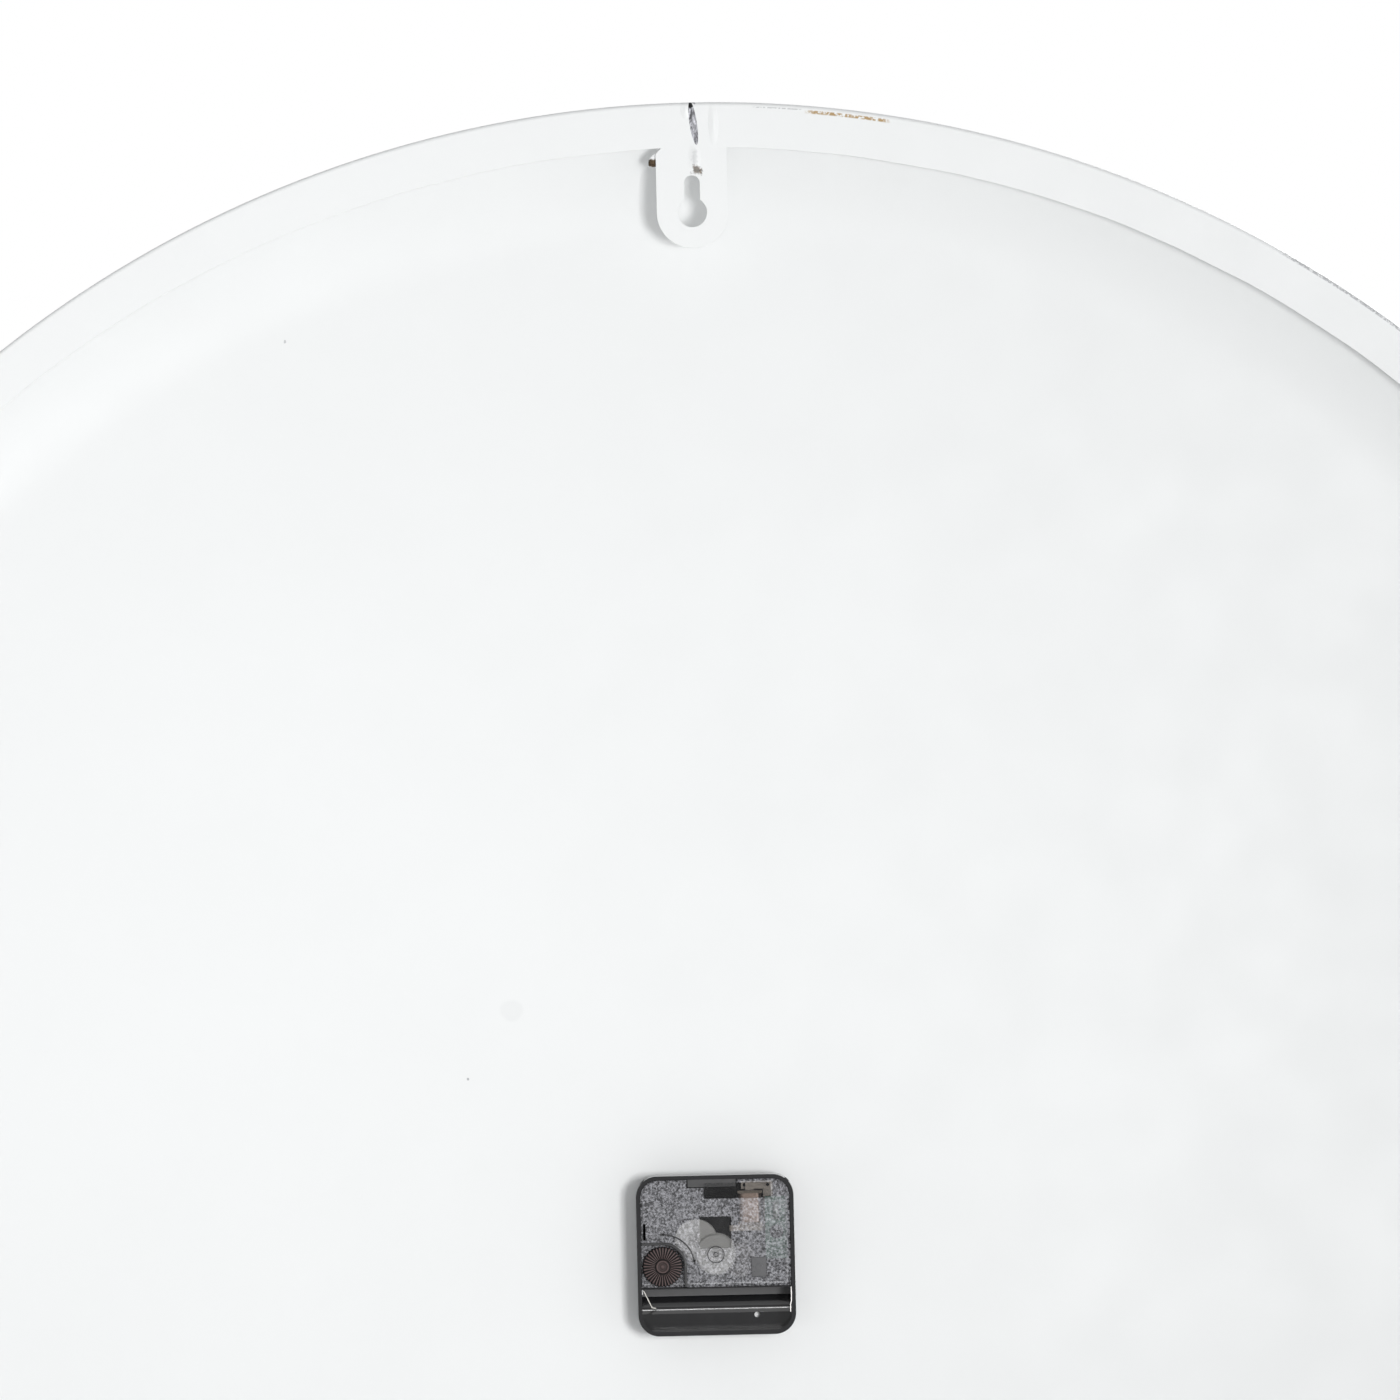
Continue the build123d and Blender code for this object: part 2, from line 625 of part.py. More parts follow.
def middle_plate():
    """Bearing plate between the going train and the motion work, cut away beside the coil."""
    right = PLATE_POSTS[1][0] + PLATE_RIM
    left = PLATE_POSTS[2][0] - PLATE_RIM
    bottom = PLATE_POSTS[2][1] - PLATE_RIM
    top = PLATE_POSTS[0][1] + PLATE_RIM
    shoulder_x = PLATE_POSTS[0][0] - PLATE_RIM
    shoulder_y = pole_top - CORE_LAP - MOTOR_GAP
    plate = area(shoulder_x, right, bottom, top) + area(left, right, bottom, shoulder_y)
    holes = [
        (CENTRE, MINUTE_RADIUS + RUNNING_PLAY),
        (motion_at, MOTION_POST_RADIUS + PRESS_PLAY),
        (knob_at, SETTING_RADIUS + RUNNING_PLAY),
        (rotor_at, tip_radius(ROTOR_TEETH, rotor_module) + 2 * RUNNING_PLAY),
        (third_at, PIVOT_RADIUS + PIVOT_PLAY),
        (fifth_at, PIVOT_RADIUS + PIVOT_PLAY),
    ]
    holes += [(at, PLATE_SPIGOT_RADIUS + PRESS_PLAY) for at in PLATE_POSTS]
    for at, radius in holes:
        plate -= Pos(*at) * Circle(radius)
    return slab(plate, plate_low, plate_high)


def centre_bushing():
    """Threaded brass barrel: its flange lies inside the case, its barrel passes through the dial."""
    barrel = disc(BUSHING_FLANGE_RADIUS, flange_low, case_inner)
    barrel += disc(BUSHING_RADIUS, case_inner, bushing_end)
    return barrel - disc(HOUR_TUBE_RADIUS + RUNNING_PLAY, flange_low - CUT, bushing_end + CUT)


def dial_washer():
    """Washer on the dial's face."""
    return slab(Circle(WASHER_RADIUS) - Circle(BUSHING_RADIUS + BUSHING_PLAY), DIAL_DEPTH, nut_low)


def mounting_nut():
    """Hexagon nut that clamps the movement to the dial."""
    nut = RegularPolygon(NUT_FLATS / 2, 6, major_radius=False) - Circle(BUSHING_RADIUS + BUSHING_PLAY)
    return slab(nut, nut_low, nut_low + NUT_HEIGHT)


def rear_pivot(at, end):
    """Rear pivot of a train arbor in the cover, with its stem up to end."""
    pivot = disc(PIVOT_RADIUS, cover_front - PIVOT_DEPTH + END_PLAY, shoulder, at)
    return pivot + disc(STEM_RADIUS, shoulder, end, at)


def front_pivot(at, start):
    """Front pivot of a train arbor in the middle plate, with its stem from start."""
    stem = disc(STEM_RADIUS, start, plate_low - END_PLAY, at)
    return stem + disc(PIVOT_RADIUS, plate_low - END_PLAY, plate_high - END_PLAY, at)


def seconds_wheel():
    """Wheel on the clock's axis, turned by the motor once a minute."""
    wheel = gear(SECONDS_TEETH, seconds_module, seconds_low, seconds_high)
    wheel += gear(SECONDS_PINION_TEETH, third_module, seconds_high, third_high + END_PLAY)
    wheel += disc(SECONDS_ARBOR_RADIUS, third_high, seconds_arbor_end)
    return wheel + rear_pivot(CENTRE, seconds_low)


def third_wheel():
    """Wheel and pinion between seconds wheel and centre wheel."""
    pinion_end = centre_high + END_PLAY
    wheel = gear(THIRD_TEETH, third_module, third_low, third_high, third_at, third_phase)
    wheel += gear(THIRD_PINION_TEETH, centre_module, third_high, pinion_end, third_at)
    return wheel + rear_pivot(third_at, third_low) + front_pivot(third_at, pinion_end)


def fifth_wheel():
    """Wheel and pinion between rotor and seconds wheel."""
    pinion_low = seconds_low - END_PLAY
    wheel = gear(FIFTH_TEETH, rotor_module, third_low, third_high, fifth_at)
    wheel += gear(FIFTH_PINION_TEETH, seconds_module, pinion_low, third_low, fifth_at, fifth_phase)
    wheel += rear_pivot(fifth_at, pinion_low)
    return wheel + front_pivot(fifth_at, third_high)


def rotor_pinion():
    """Moulded pinion and arbor of the motor's rotor."""
    pinion_low = third_low - END_PLAY
    pinion_high = third_high + END_PLAY
    stem_end = magnet_high + END_PLAY
    pinion = gear(ROTOR_TEETH, rotor_module, pinion_low, pinion_high, rotor_at, rotor_phase)
    pinion += rear_pivot(rotor_at, pinion_low)
    pinion += disc(STEM_RADIUS, pinion_high, stem_end, rotor_at)
    return pinion + disc(PIVOT_RADIUS, stem_end, rotor_boss_end + PIVOT_DEPTH, rotor_at)


def rotor_magnet():
    """Round two-pole magnet on the rotor's arbor."""
    ring = disc(MAGNET_RADIUS, magnet_low, magnet_high, rotor_at)
    return ring - disc(STEM_RADIUS + PRESS_PLAY, magnet_low - CUT, magnet_high + CUT, rotor_at)


def centre_wheel():
    """Wheel that turns the minute arbor through a slipping fit."""
    hub_low = third_high + 2 * END_PLAY
    hub_high = centre_high + 2 * END_PLAY
    wheel = gear(CENTRE_TEETH, centre_module, centre_low, centre_high, CENTRE, centre_phase)
    wheel += disc(CLUTCH_HUB_RADIUS, hub_low, hub_high)
    return wheel - disc(CLUTCH_RADIUS + RUNNING_PLAY, hub_low - CUT, hub_high + CUT)


def minute_arbor():
    """Hollow arbor with the cannon pinion, and a flatted spigot for the minute hand."""
    clutch_low = third_high + 2 * END_PLAY
    clutch_high = centre_high + 3 * END_PLAY
    arbor = disc(CLUTCH_RADIUS, clutch_low, clutch_high)
    arbor += disc(MINUTE_RADIUS, clutch_high, minute_bush_low)
    arbor += gear(CANNON_TEETH, setting_module, motion_low, motion_high)
    spigot = Circle(SPIGOT_RADIUS) & Rectangle(SPIGOT_FLATS, 2 * SPIGOT_RADIUS)
    turned = Rot(0, 0, -MINUTE_HAND_ANGLE) * spigot
    arbor += slab(turned, minute_bush_low, minute_bush_low + SPIGOT_LENGTH)
    return arbor - disc(SECONDS_ARBOR_RADIUS + RUNNING_PLAY, clutch_low - CUT, seconds_arbor_end + CUT)


def motion_wheel():
    """Wheel and pinion on a post, between minute arbor and hour wheel."""
    wheel = gear(MOTION_TEETH, setting_module, motion_low, motion_high, motion_at, motion_phase)
    wheel += gear(MOTION_PINION_TEETH, hour_module, motion_high, hour_high, motion_at)
    return wheel - disc(MOTION_POST_RADIUS + RUNNING_PLAY, motion_low - CUT, hour_high + CUT, motion_at)


def hour_wheel():
    """Wheel with the tube that carries the hour hand."""
    wheel = gear(HOUR_TEETH, hour_module, hour_low, hour_high, CENTRE, hour_phase)
    wheel += disc(HOUR_HUB_RADIUS, hour_high, flange_low - END_PLAY)
    wheel += disc(HOUR_TUBE_RADIUS, hour_high, hour_bush_high)
    return wheel - disc(MINUTE_RADIUS + RUNNING_PLAY, hour_low - CUT, hour_bush_high + CUT)


def setting_arbor():
    """Arbor under the setting knob, with the pinion that turns the motion wheel."""
    pinion_low = motion_low - END_PLAY
    pinion_high = motion_high + END_PLAY
    arbor = disc(SETTING_SPIGOT_RADIUS, knob_rear + 2 * KNOB_SKIN, knob_front, knob_at)
    arbor += disc(SETTING_RADIUS, knob_front, pinion_low, knob_at)
    arbor += gear(SETTING_TEETH, setting_module, pinion_low, pinion_high, knob_at, setting_phase)
    return arbor + disc(SETTING_SPIGOT_RADIUS, pinion_high, pinion_high + SETTING_PIVOT, knob_at)


def setting_knob():
    """Ribbed knob pressed on the setting arbor."""
    points = []
    for rib in range(KNOB_RIBS):
        turn = 2 * math.pi * rib / KNOB_RIBS
        quarter = math.pi / KNOB_RIBS / 2
        points += [polar(KNOB_RADIUS, turn - quarter), polar(KNOB_RADIUS, turn + quarter)]
        points.append(polar(KNOB_RADIUS - KNOB_RIB_DEPTH, turn + 2 * quarter))
    knob = Pos(*knob_at) * slab(Polygon(*points, align=None), knob_rear, knob_front)
    return knob - disc(SETTING_SPIGOT_RADIUS + PRESS_PLAY, knob_rear + KNOB_SKIN, knob_front + CUT, knob_at)


def stator():
    """Soft-iron stator: pole block round the rotor, side arm and top bar round the coil."""
    plate = area(pole_left, pole_right, pole_bottom, pole_top)
    plate += area(arm_left, arm_right, pole_bottom, bar_high)
    plate += area(arm_left, pole_right, pole_bottom, pole_bottom + POLE_DEPTH - rotor_hole)
    plate += area(arm_left, coil_x + CORE_WIDTH, bar_low, bar_high)
    plate -= Pos(*rotor_at) * Circle(rotor_hole)
    for at in stator_posts:
        plate -= Pos(*at) * Circle(STATOR_SPIGOT_RADIUS + PRESS_PLAY)
    return slab(plate, stator_low, stator_high)


def coil_core():
    """Flat core through the coil, lying on the stator at both ends."""
    half = CORE_WIDTH / 2
    return block(coil_x - half, coil_x + half, pole_top - CORE_LAP, bar_high, core_low, stator_low)


def around_core(width, depth):
    """A rectangle round the core in the coil's cross section."""
    section = Plane(origin=(coil_x, 0, core_mid), x_dir=(1, 0, 0), z_dir=(0, 1, 0))
    return section * Rectangle(width, depth)


def along_coil(section, low, high):
    """A bar along the coil from low to high."""
    return extrude(Pos(0, low, 0) * section, amount=high - low)


bobbin_hole = (CORE_WIDTH + 2 * BOBBIN_PLAY, STATOR_SHEET + 2 * BOBBIN_PLAY)
bobbin_tube = (bobbin_hole[0] + 2 * BOBBIN_WALL, bobbin_hole[1] + 2 * BOBBIN_WALL)


def coil_bobbin():
    """Flanged bobbin on the core."""
    flange = around_core(BOBBIN_FLANGE_WIDTH, BOBBIN_FLANGE_DEPTH)
    bobbin = along_coil(around_core(*bobbin_tube), bobbin_low, bobbin_high)
    bobbin += along_coil(flange, bobbin_low, bobbin_low + BOBBIN_FLANGE)
    bobbin += along_coil(flange, bobbin_high - BOBBIN_FLANGE, bobbin_high)
    return bobbin - along_coil(around_core(*bobbin_hole), bobbin_low - CUT, bobbin_high + CUT)


def coil_winding():
    """Copper winding between the bobbin's flanges."""
    low = bobbin_low + BOBBIN_FLANGE
    high = bobbin_high - BOBBIN_FLANGE
    body = along_coil(around_core(WINDING_WIDTH, WINDING_DEPTH), low, high)
    body = fillet(body.edges().filter_by(Axis.Y), WINDING_CORNER)
    return body - along_coil(around_core(*bobbin_tube), low - CUT, high + CUT)


def circuit_board():
    """Narrow board on two posts, with a tab that meets the positive lead."""
    board = block(board_left, board_right, BOARD_LOW, BOARD_HIGH, board_low, board_high)
    tab_left = STRIP - inner_half_width
    return board + block(tab_left, board_left, BOARD_LOW, BOARD_LOW + BOARD_TAB, board_low, board_high)


def driver_chip():
    """Epoxy drop over the driver chip, on the board's rear face."""
    drop = disc(CHIP_RADIUS, board_low - CHIP_HEIGHT, board_low, (board_mid, CHIP_AT_HEIGHT))
    top = drop.faces().sort_by(Axis.Z)[0]
    return fillet(top.edges(), CHIP_HEIGHT * CHIP_ROUNDNESS)


def quartz_crystal():
    """Crystal in a round can, lying on the board's rear face."""
    low = CRYSTAL_AT_HEIGHT - CRYSTAL_LENGTH / 2
    section = Plane(origin=(board_mid, low, board_low - CRYSTAL_RADIUS), x_dir=(1, 0, 0), z_dir=(0, 1, 0))
    return extrude(section * Circle(CRYSTAL_RADIUS), amount=CRYSTAL_LENGTH)


def positive_contact():
    """Bumped strip on the bay's end wall, with its lead up to the board."""
    wall = STRIP / 2 - inner_half_width
    bump = wall + CONTACT_BUMP
    points = [
        (bump, -cell_drop - CONTACT_SPREAD), (bump, -cell_drop + CONTACT_SPREAD),
        (wall, -cell_drop + 2 * CONTACT_SPREAD), (wall, -bay_top),
    ]
    strip = ribbon(points, STRIP, strip_low, strip_high)
    left = -inner_half_width
    lead_top = BOARD_LOW + BOARD_TAB
    return strip + block(left, left + STRIP, -bay_top, lead_top, board_lead_low, board_lead_high)


def negative_lead():
    """Anchor of the sprung leaf, and the strip along the bay wall from it to the board."""
    right = inner_half_width
    inside = bay_wall_inner + STRIP
    leg_left = board_left + STRIP
    lead = block(right - STRIP, right, -bay_top - ANCHOR_REACH, inside, strip_low, strip_high)
    lead += block(leg_left, right, bay_wall_inner, inside, lead_low, strip_high)
    lead += block(leg_left, leg_left + STRIP, bay_wall_inner, BOARD_LOW + STRIP, lead_low, strip_high)
    return lead + block(leg_left, leg_left + STRIP, BOARD_LOW, BOARD_LOW + LEAD_WIDTH, board_high, strip_high)


def negative_contact():
    """Sprung leaf that presses on the cell's flat end."""
    root = (inner_half_width - STRIP - LEAF_ROOT_GAP, -bay_top - STRIP)
    bend = (root[0] - LEAF_SPREAD, root[1] - LEAF_DROP)
    curl = (bend[0] - LEAF_CURL, bend[1] - LEAF_CURL_DROP)
    return ribbon([root, bend, curl], STRIP, strip_low, strip_high)


def hand_blade(length, tail, width, tip, low, hole, angle):
    """A tapered baton hand with a round boss, turned clockwise to its angle."""
    corners = [(-width / 2, -tail), (width / 2, -tail), (tip / 2, length), (-tip / 2, length)]
    outline = Polygon(*corners, align=None)
    outline += Circle(HAND_HUB_RADIUS)
    outline -= Circle(hole)
    return Rot(0, 0, -angle) * slab(outline, low, low + HAND_SHEET)


def hand_bush(bore, low, high, blade_low):
    """A flanged bush that the blade sits on: a collar behind it and a sleeve through it."""
    sleeve = bore.radius + BUSH_WALL
    return disc(sleeve + BUSH_RIM, low, blade_low) + disc(sleeve, blade_low, high)


hour_bore = Circle(HOUR_TUBE_RADIUS + PRESS_PLAY)
minute_bore = Circle(SPIGOT_RADIUS + PRESS_PLAY)


def hour_hand():
    """Blade of the hour hand."""
    hole = hour_bore.radius + BUSH_WALL + PRESS_PLAY
    return hand_blade(
        HOUR_HAND_LENGTH, HOUR_HAND_TAIL, HOUR_HAND_WIDTH, HOUR_HAND_TIP, hour_blade_low, hole,
        HOUR_HAND_ANGLE,
    )


def hour_hand_bush():
    """Brass bush of the hour hand, pressed on the hour tube."""
    bush = hand_bush(hour_bore, hour_bush_low, hour_bush_high, hour_blade_low)
    return bush - slab(hour_bore, hour_bush_low - CUT, hour_bush_high + CUT)


def minute_hand():
    """Blade of the minute hand."""
    hole = minute_bore.radius + BUSH_WALL + PRESS_PLAY
    return hand_blade(
        MINUTE_HAND_LENGTH, MINUTE_HAND_TAIL, MINUTE_HAND_WIDTH, MINUTE_HAND_TIP, minute_blade_low, hole,
        MINUTE_HAND_ANGLE,
    )


def minute_hand_bush():
    """Brass bush of the minute hand, with a flatted hole for the arbor's spigot."""
    bush = hand_bush(minute_bore, minute_bush_low, minute_bush_high, minute_blade_low)
    hole = minute_bore & Rectangle(SPIGOT_FLATS + 2 * PRESS_PLAY, 2 * minute_bore.radius)
    return bush - slab(Rot(0, 0, -MINUTE_HAND_ANGLE) * hole, minute_bush_low - CUT, minute_bush_high + CUT)


def hand_nut():
    """Cap nut that holds the minute hand on its spigot."""
    top = minute_bush_high + HAND_NUT_HEIGHT
    nut = disc(HAND_NUT_RADIUS, minute_bush_high, top)
    nut = fillet(nut.faces().sort_by(Axis.Z)[-1].edges(), HAND_NUT_HEIGHT * HAND_NUT_ROUNDNESS)
    spigot_end = minute_bush_low + SPIGOT_LENGTH + END_PLAY
    return nut - disc(SPIGOT_RADIUS + PRESS_PLAY, minute_bush_high - CUT, spigot_end)


PIECES = (
    dial_pan, rear_ring, hanger_plate, hanger_strap, cushion_ring, movement_case, rear_cover, middle_plate,
    centre_bushing, dial_washer, mounting_nut, seconds_wheel, third_wheel, fifth_wheel, rotor_pinion,
    rotor_magnet, centre_wheel, minute_arbor, motion_wheel, hour_wheel, setting_arbor, setting_knob, stator,
    coil_core, coil_bobbin, coil_winding, circuit_board, driver_chip, quartz_crystal, positive_contact,
    negative_lead, negative_contact, hour_hand, hour_hand_bush, minute_hand, minute_hand_bush, hand_nut,
)

os.makedirs("parts", exist_ok=True)
upright = Pos(0, 0, -keyhole_height) * Rot(90, 0, 0)
for piece in PIECES:
    export_step(upright * piece(), f"parts/{piece.__name__}.step")
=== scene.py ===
import json
import math

import bpy
from bpy.props import FloatProperty, FloatVectorProperty, IntProperty, PointerProperty
from mathutils import Matrix, Vector, noise


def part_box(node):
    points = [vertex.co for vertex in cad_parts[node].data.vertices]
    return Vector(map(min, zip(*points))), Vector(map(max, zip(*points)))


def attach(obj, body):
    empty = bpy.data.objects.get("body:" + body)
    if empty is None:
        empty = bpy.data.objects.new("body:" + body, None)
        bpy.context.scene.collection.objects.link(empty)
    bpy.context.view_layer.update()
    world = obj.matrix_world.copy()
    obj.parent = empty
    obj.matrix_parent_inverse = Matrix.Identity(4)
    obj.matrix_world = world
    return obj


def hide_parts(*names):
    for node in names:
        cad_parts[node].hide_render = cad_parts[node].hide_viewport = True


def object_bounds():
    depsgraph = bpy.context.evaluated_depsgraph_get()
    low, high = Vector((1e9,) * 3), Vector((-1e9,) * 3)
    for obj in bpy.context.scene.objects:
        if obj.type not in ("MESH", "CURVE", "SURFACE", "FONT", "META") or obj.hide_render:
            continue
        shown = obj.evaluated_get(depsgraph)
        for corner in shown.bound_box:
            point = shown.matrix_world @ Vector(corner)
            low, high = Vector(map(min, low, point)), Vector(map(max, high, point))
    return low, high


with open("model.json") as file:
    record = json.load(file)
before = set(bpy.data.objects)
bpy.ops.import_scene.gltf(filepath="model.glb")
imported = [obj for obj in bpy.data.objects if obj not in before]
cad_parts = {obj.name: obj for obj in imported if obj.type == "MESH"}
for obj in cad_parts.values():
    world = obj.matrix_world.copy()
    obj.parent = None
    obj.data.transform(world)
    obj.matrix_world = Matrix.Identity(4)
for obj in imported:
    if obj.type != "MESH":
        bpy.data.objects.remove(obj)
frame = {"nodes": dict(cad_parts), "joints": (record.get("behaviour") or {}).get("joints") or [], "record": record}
cad_low, cad_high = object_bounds()

bl_info = {
    "name": "Wall Clock",
    "version": (1, 0, 0),
    "blender": (4, 5, 0),
    "location": "View3D > Sidebar > Wall Clock",
    "description": "Dresses a large wall clock: enamelled pan, keyhole hanger, quartz movement and hands",
    "category": "Add Mesh",
}

MM = 0.001
MERGE = 1e-6
BODY = "clock_body"

# Faces that meet at less than FLAT are merged, and edges that bend by more than SHARP are rounded
FLAT = math.radians(0.5)
SHARP = math.radians(30)

# Corners of the clock's largest circles
ROUND_STEPS = 360

# Places of the case's other finishes in its list of materials
LEDGE, CRADLE, LATCH, CHAMBER = 1, 2, 3, 4

# The clock's axis, and its main sizes from the frame
pan_low, pan_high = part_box("dial_pan")
axis_height = (pan_low.z + pan_high.z) / 2
clock_radius = (pan_high.x - pan_low.x) / 2

# Pieces are shaped on the bench, dial up: x right and y up as seen from the front, z forward from the
# wall. This stands them up in the frame.
STAND = Matrix.Translation((0, 0, axis_height)) @ Matrix.Rotation(math.pi / 2, 4, "X")


def bench(node):
    """A CAD node's lowest and highest corners on the bench."""
    low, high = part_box(node)
    return (
        Vector((low.x, low.z - axis_height, -high.y)),
        Vector((high.x, high.z - axis_height, -low.y)),
    )


dial_front = bench("dial_pan")[1].z
ring_sheet = bench("rear_ring")[1].z
cover_rear = bench("rear_cover")[0].z
knob_x, _, knob_z = next(j["pos_m"] for j in frame["joints"] if j["name"] == "setting_knob_turn")
knob_centre = Vector((knob_x, knob_z - axis_height))
keyhole_centre = Vector((0, -axis_height, 0))


def length(name, description, size):
    """A size in millimetres that a user may change."""
    return FloatProperty(name=name, description=description, default=size * MM, unit="LENGTH", precision=4)


def angle(name, description, degrees):
    """An angle that a user may change."""
    return FloatProperty(name=name, description=description, default=math.radians(degrees), subtype="ANGLE")


def point(name, description, across, up):
    """A point in millimetres from the clock's axis that a user may move."""
    return FloatVectorProperty(
        name=name, description=description, default=(across * MM, up * MM), unit="LENGTH", size=2
    )


def colour(name, description, default):
    """A colour that a user may change."""
    return FloatVectorProperty(
        name=name, description=description, default=default, subtype="COLOR", size=3, min=0, max=1
    )


def hand_sizes(hand, reach, tail, width, tip, degrees):
    """The sizes of one hand and where it points."""
    label = hand.title()
    return {
        hand + "_length": length(label + " hand", "Length from the axis to the tip", reach),
        hand + "_tail": length(label + " tail", "Length from the axis to the tail", tail),
        hand + "_width": length(label + " width", "Width at the tail", width),
        hand + "_tip": length(label + " tip", "Width at the tip", tip),
        hand + "_angle": angle(label + " angle", "Where the hand points, from twelve", degrees),
    }


class ClockPan(bpy.types.PropertyGroup):
    """Pan, rear ring and hanger."""

    sheet: length("Sheet", "Thickness of the pan's sheet", 1.0)
    edge_width: length("Edge width", "Width of the dial's rounded edge", 46.5)
    bore: length("Bore", "Radius of the barrel's hole", 4.08)
    ring_width: length("Ring width", "Width of the flat rear ring", 16.0)
    ring_corner: length("Ring corner", "Rounding of the ring's outer rear corner", 1.4)
    ring_rounding: length("Ring rounding", "Rounding of the ring's other edges", 0.35)
    waviness: length("Waviness", "How far the spun sheet departs from flat", 0.12)
    slot: length("Keyhole slot", "Width of the keyhole's slot", 5.7)
    slot_rise: length("Slot rise", "Height of the slot's end above the entry", 10.2)
    seam_length: length("Seam length", "Length of the ring's weld seam", 15.5)
    seam_width: length("Seam width", "Width of the seam at its middle", 2.6)
    seam_lean: angle("Seam lean", "How far the seam leans from upright", 7.5)
    seam_offset: length("Seam offset", "How far the seam lies beside twelve", 1.0)
    tab_corner: length("Tab corner", "How far the tab's upper corner is cut back", 2.2)
    strap_corner: length("Strap corner", "Height of the strap's end below its slanted corner", 2.6)


class ClockFront(bpy.types.PropertyGroup):
    """Dial print and hands."""

    numeral_height: length("Numeral height", "Type size of the numbers", 86.0)
    numeral_radius: length("Numeral radius", "Distance of the numbers from the centre", 286.0)
    track_radius: length("Track radius", "Distance of the minute marks from the centre", 346.0)
    minute_mark: length("Minute mark", "Length of a minute mark", 10.0)
    hour_mark: length("Hour mark", "Length of an hour mark", 16.0)
    ink: length("Ink", "Thickness of the print", 0.06)
    hand_rounding: length("Hand rounding", "Rounding of the hands' edges", 0.18)
    hub: length("Hand hub", "Radius of the boss of each hand", 13.0)
    __annotations__.update(hand_sizes("minute", 300.0, 75.0, 15.0, 6.0, 60.0))
    __annotations__.update(hand_sizes("hour", 205.0, 60.0, 20.0, 9.0, 305.0))


class ClockMovement(bpy.types.PropertyGroup):
    """Quartz movement on the back."""

    case_rounding: length("Case rounding", "Rounding of the moulded edges", 0.2)
    knob_ribs: IntProperty(name="Knob ribs", description="Ribs round the setting knob", default=36)
    rib_height: length("Rib height", "How far the ribs stand out", 0.35)
    groove: length("Groove", "Depth of the grooves between the ribs", 0.9)
    knob_hub: length("Knob hub", "Radius of the knob's raised hub ring", 2.3)
    tray_radius: length("Tray radius", "Radius of the tray round the knob", 8.55)
    # The tray's dark edge is a strip of painted shadow
    tray_edge: length("Tray edge", "Width of the tray's dark edge", 0.95)
    hub_ring: length("Hub ring", "Radius of the ring over the centre", 2.9)
    arrow_radius: length("Arrow radius", "Radius of the setting arrow", 11.4)
    arrow_width: length("Arrow width", "Width of the arrow's line", 0.5)
    arrow_head: length("Arrow head", "Length of the arrow's heads", 2.2)
    square_window: length("Square window", "Side of the polished square", 11.2)
    long_window: length("Long window", "Length of the polished strip", 23.6)
    long_window_height: length("Long window height", "Height of the polished strip", 5.5)
    cover_sheet: length("Cover sheet", "Thickness of the cover", 1.2)
    square_at: point("Square window's place", "Middle of the polished square", 0.0, 7.8)
    long_at: point("Long window's place", "Middle of the polished strip", -8.05, 22.5)
    pocket_at: point("Pocket's place", "Middle of the small sunk field", -15.1, -4.7)
    pocket_mark: length("Pocket mark", "Radius of the round mark in the pocket", 1.2)
    arrow_start: angle("Arrow start", "Direction of the arrow's upper end", 90.0)
    arrow_end: angle("Arrow end", "Direction of the arrow's lower end", 172.0)


class ClockColours(bpy.types.PropertyGroup):
    """Colours of the finishes."""

    enamel: colour("Enamel", "White stove enamel", (0.885, 0.895, 0.893))
    rust: colour("Rust", "Rust where the enamel is chipped", (0.17, 0.115, 0.065))
    ochre: colour("Ochre", "Thin rust along the rim", (0.44, 0.29, 0.13))
    bare: colour("Bare metal", "Grey of the bare weld", (0.30, 0.30, 0.32))
    black: colour("Black plastic", "Moulded case", (0.010, 0.010, 0.011))
    smoke: colour("Smoky plastic", "Cover over the gears", (0.31, 0.31, 0.33))
    brown: colour("Brown plastic", "Setting knob", (0.045, 0.032, 0.031))
    ink: colour("Ink", "Dial print and hands", (0.012, 0.012, 0.013))


class ClockSettings(bpy.types.PropertyGroup):
    """All that the panel shows."""

    pan: PointerProperty(type=ClockPan)
    front: PointerProperty(type=ClockFront)
    movement: PointerProperty(type=ClockMovement)
    colours: PointerProperty(type=ClockColours)


def settings():
    """The clock's settings in this scene."""
    return bpy.context.scene.wall_clock


# Modelling helpers


def activate(piece):
    """Makes one piece the only selected one."""
    bpy.ops.object.select_all(action="DESELECT")
    piece.select_set(True)
    bpy.context.view_layer.objects.active = piece


def apply_place(piece):
    """Moves a piece's place, turn and scale into its mesh."""
    activate(piece)
    bpy.ops.object.transform_apply(location=True, rotation=True, scale=True)


def added(name, data):
    """A new object in the scene."""
    made = bpy.data.objects.new(name, data)
    bpy.context.scene.collection.objects.link(made)
    return made


def named(name):
    """Names the primitive that was just added and applies its place."""
    piece = bpy.context.active_object
    piece.name = name
    piece.data.name = name
    apply_place(piece)
    return piece


def edit(piece):
    """Opens one piece in edit mode with all of it selected."""
    activate(piece)
    bpy.ops.object.mode_set(mode="EDIT")
    bpy.ops.mesh.select_all(action="SELECT")


def leave_edit():
    """Back to object mode."""
    bpy.ops.object.mode_set(mode="OBJECT")


def pick(piece, kind, test):
    """Opens a piece in edit mode with the vertices or faces selected that pass the test."""
    edit(piece)
    bpy.ops.mesh.select_mode(type=kind)
    bpy.ops.mesh.select_all(action="DESELECT")
    leave_edit()
    for item in piece.data.polygons if kind == "FACE" else piece.data.vertices:
        item.select = bool(test(item))
    bpy.ops.object.mode_set(mode="EDIT")


def cut_away(piece, test):
    """Deletes the faces that pass the test."""
    pick(piece, "FACE", test)
    bpy.ops.mesh.delete(type="FACE")
    leave_edit()


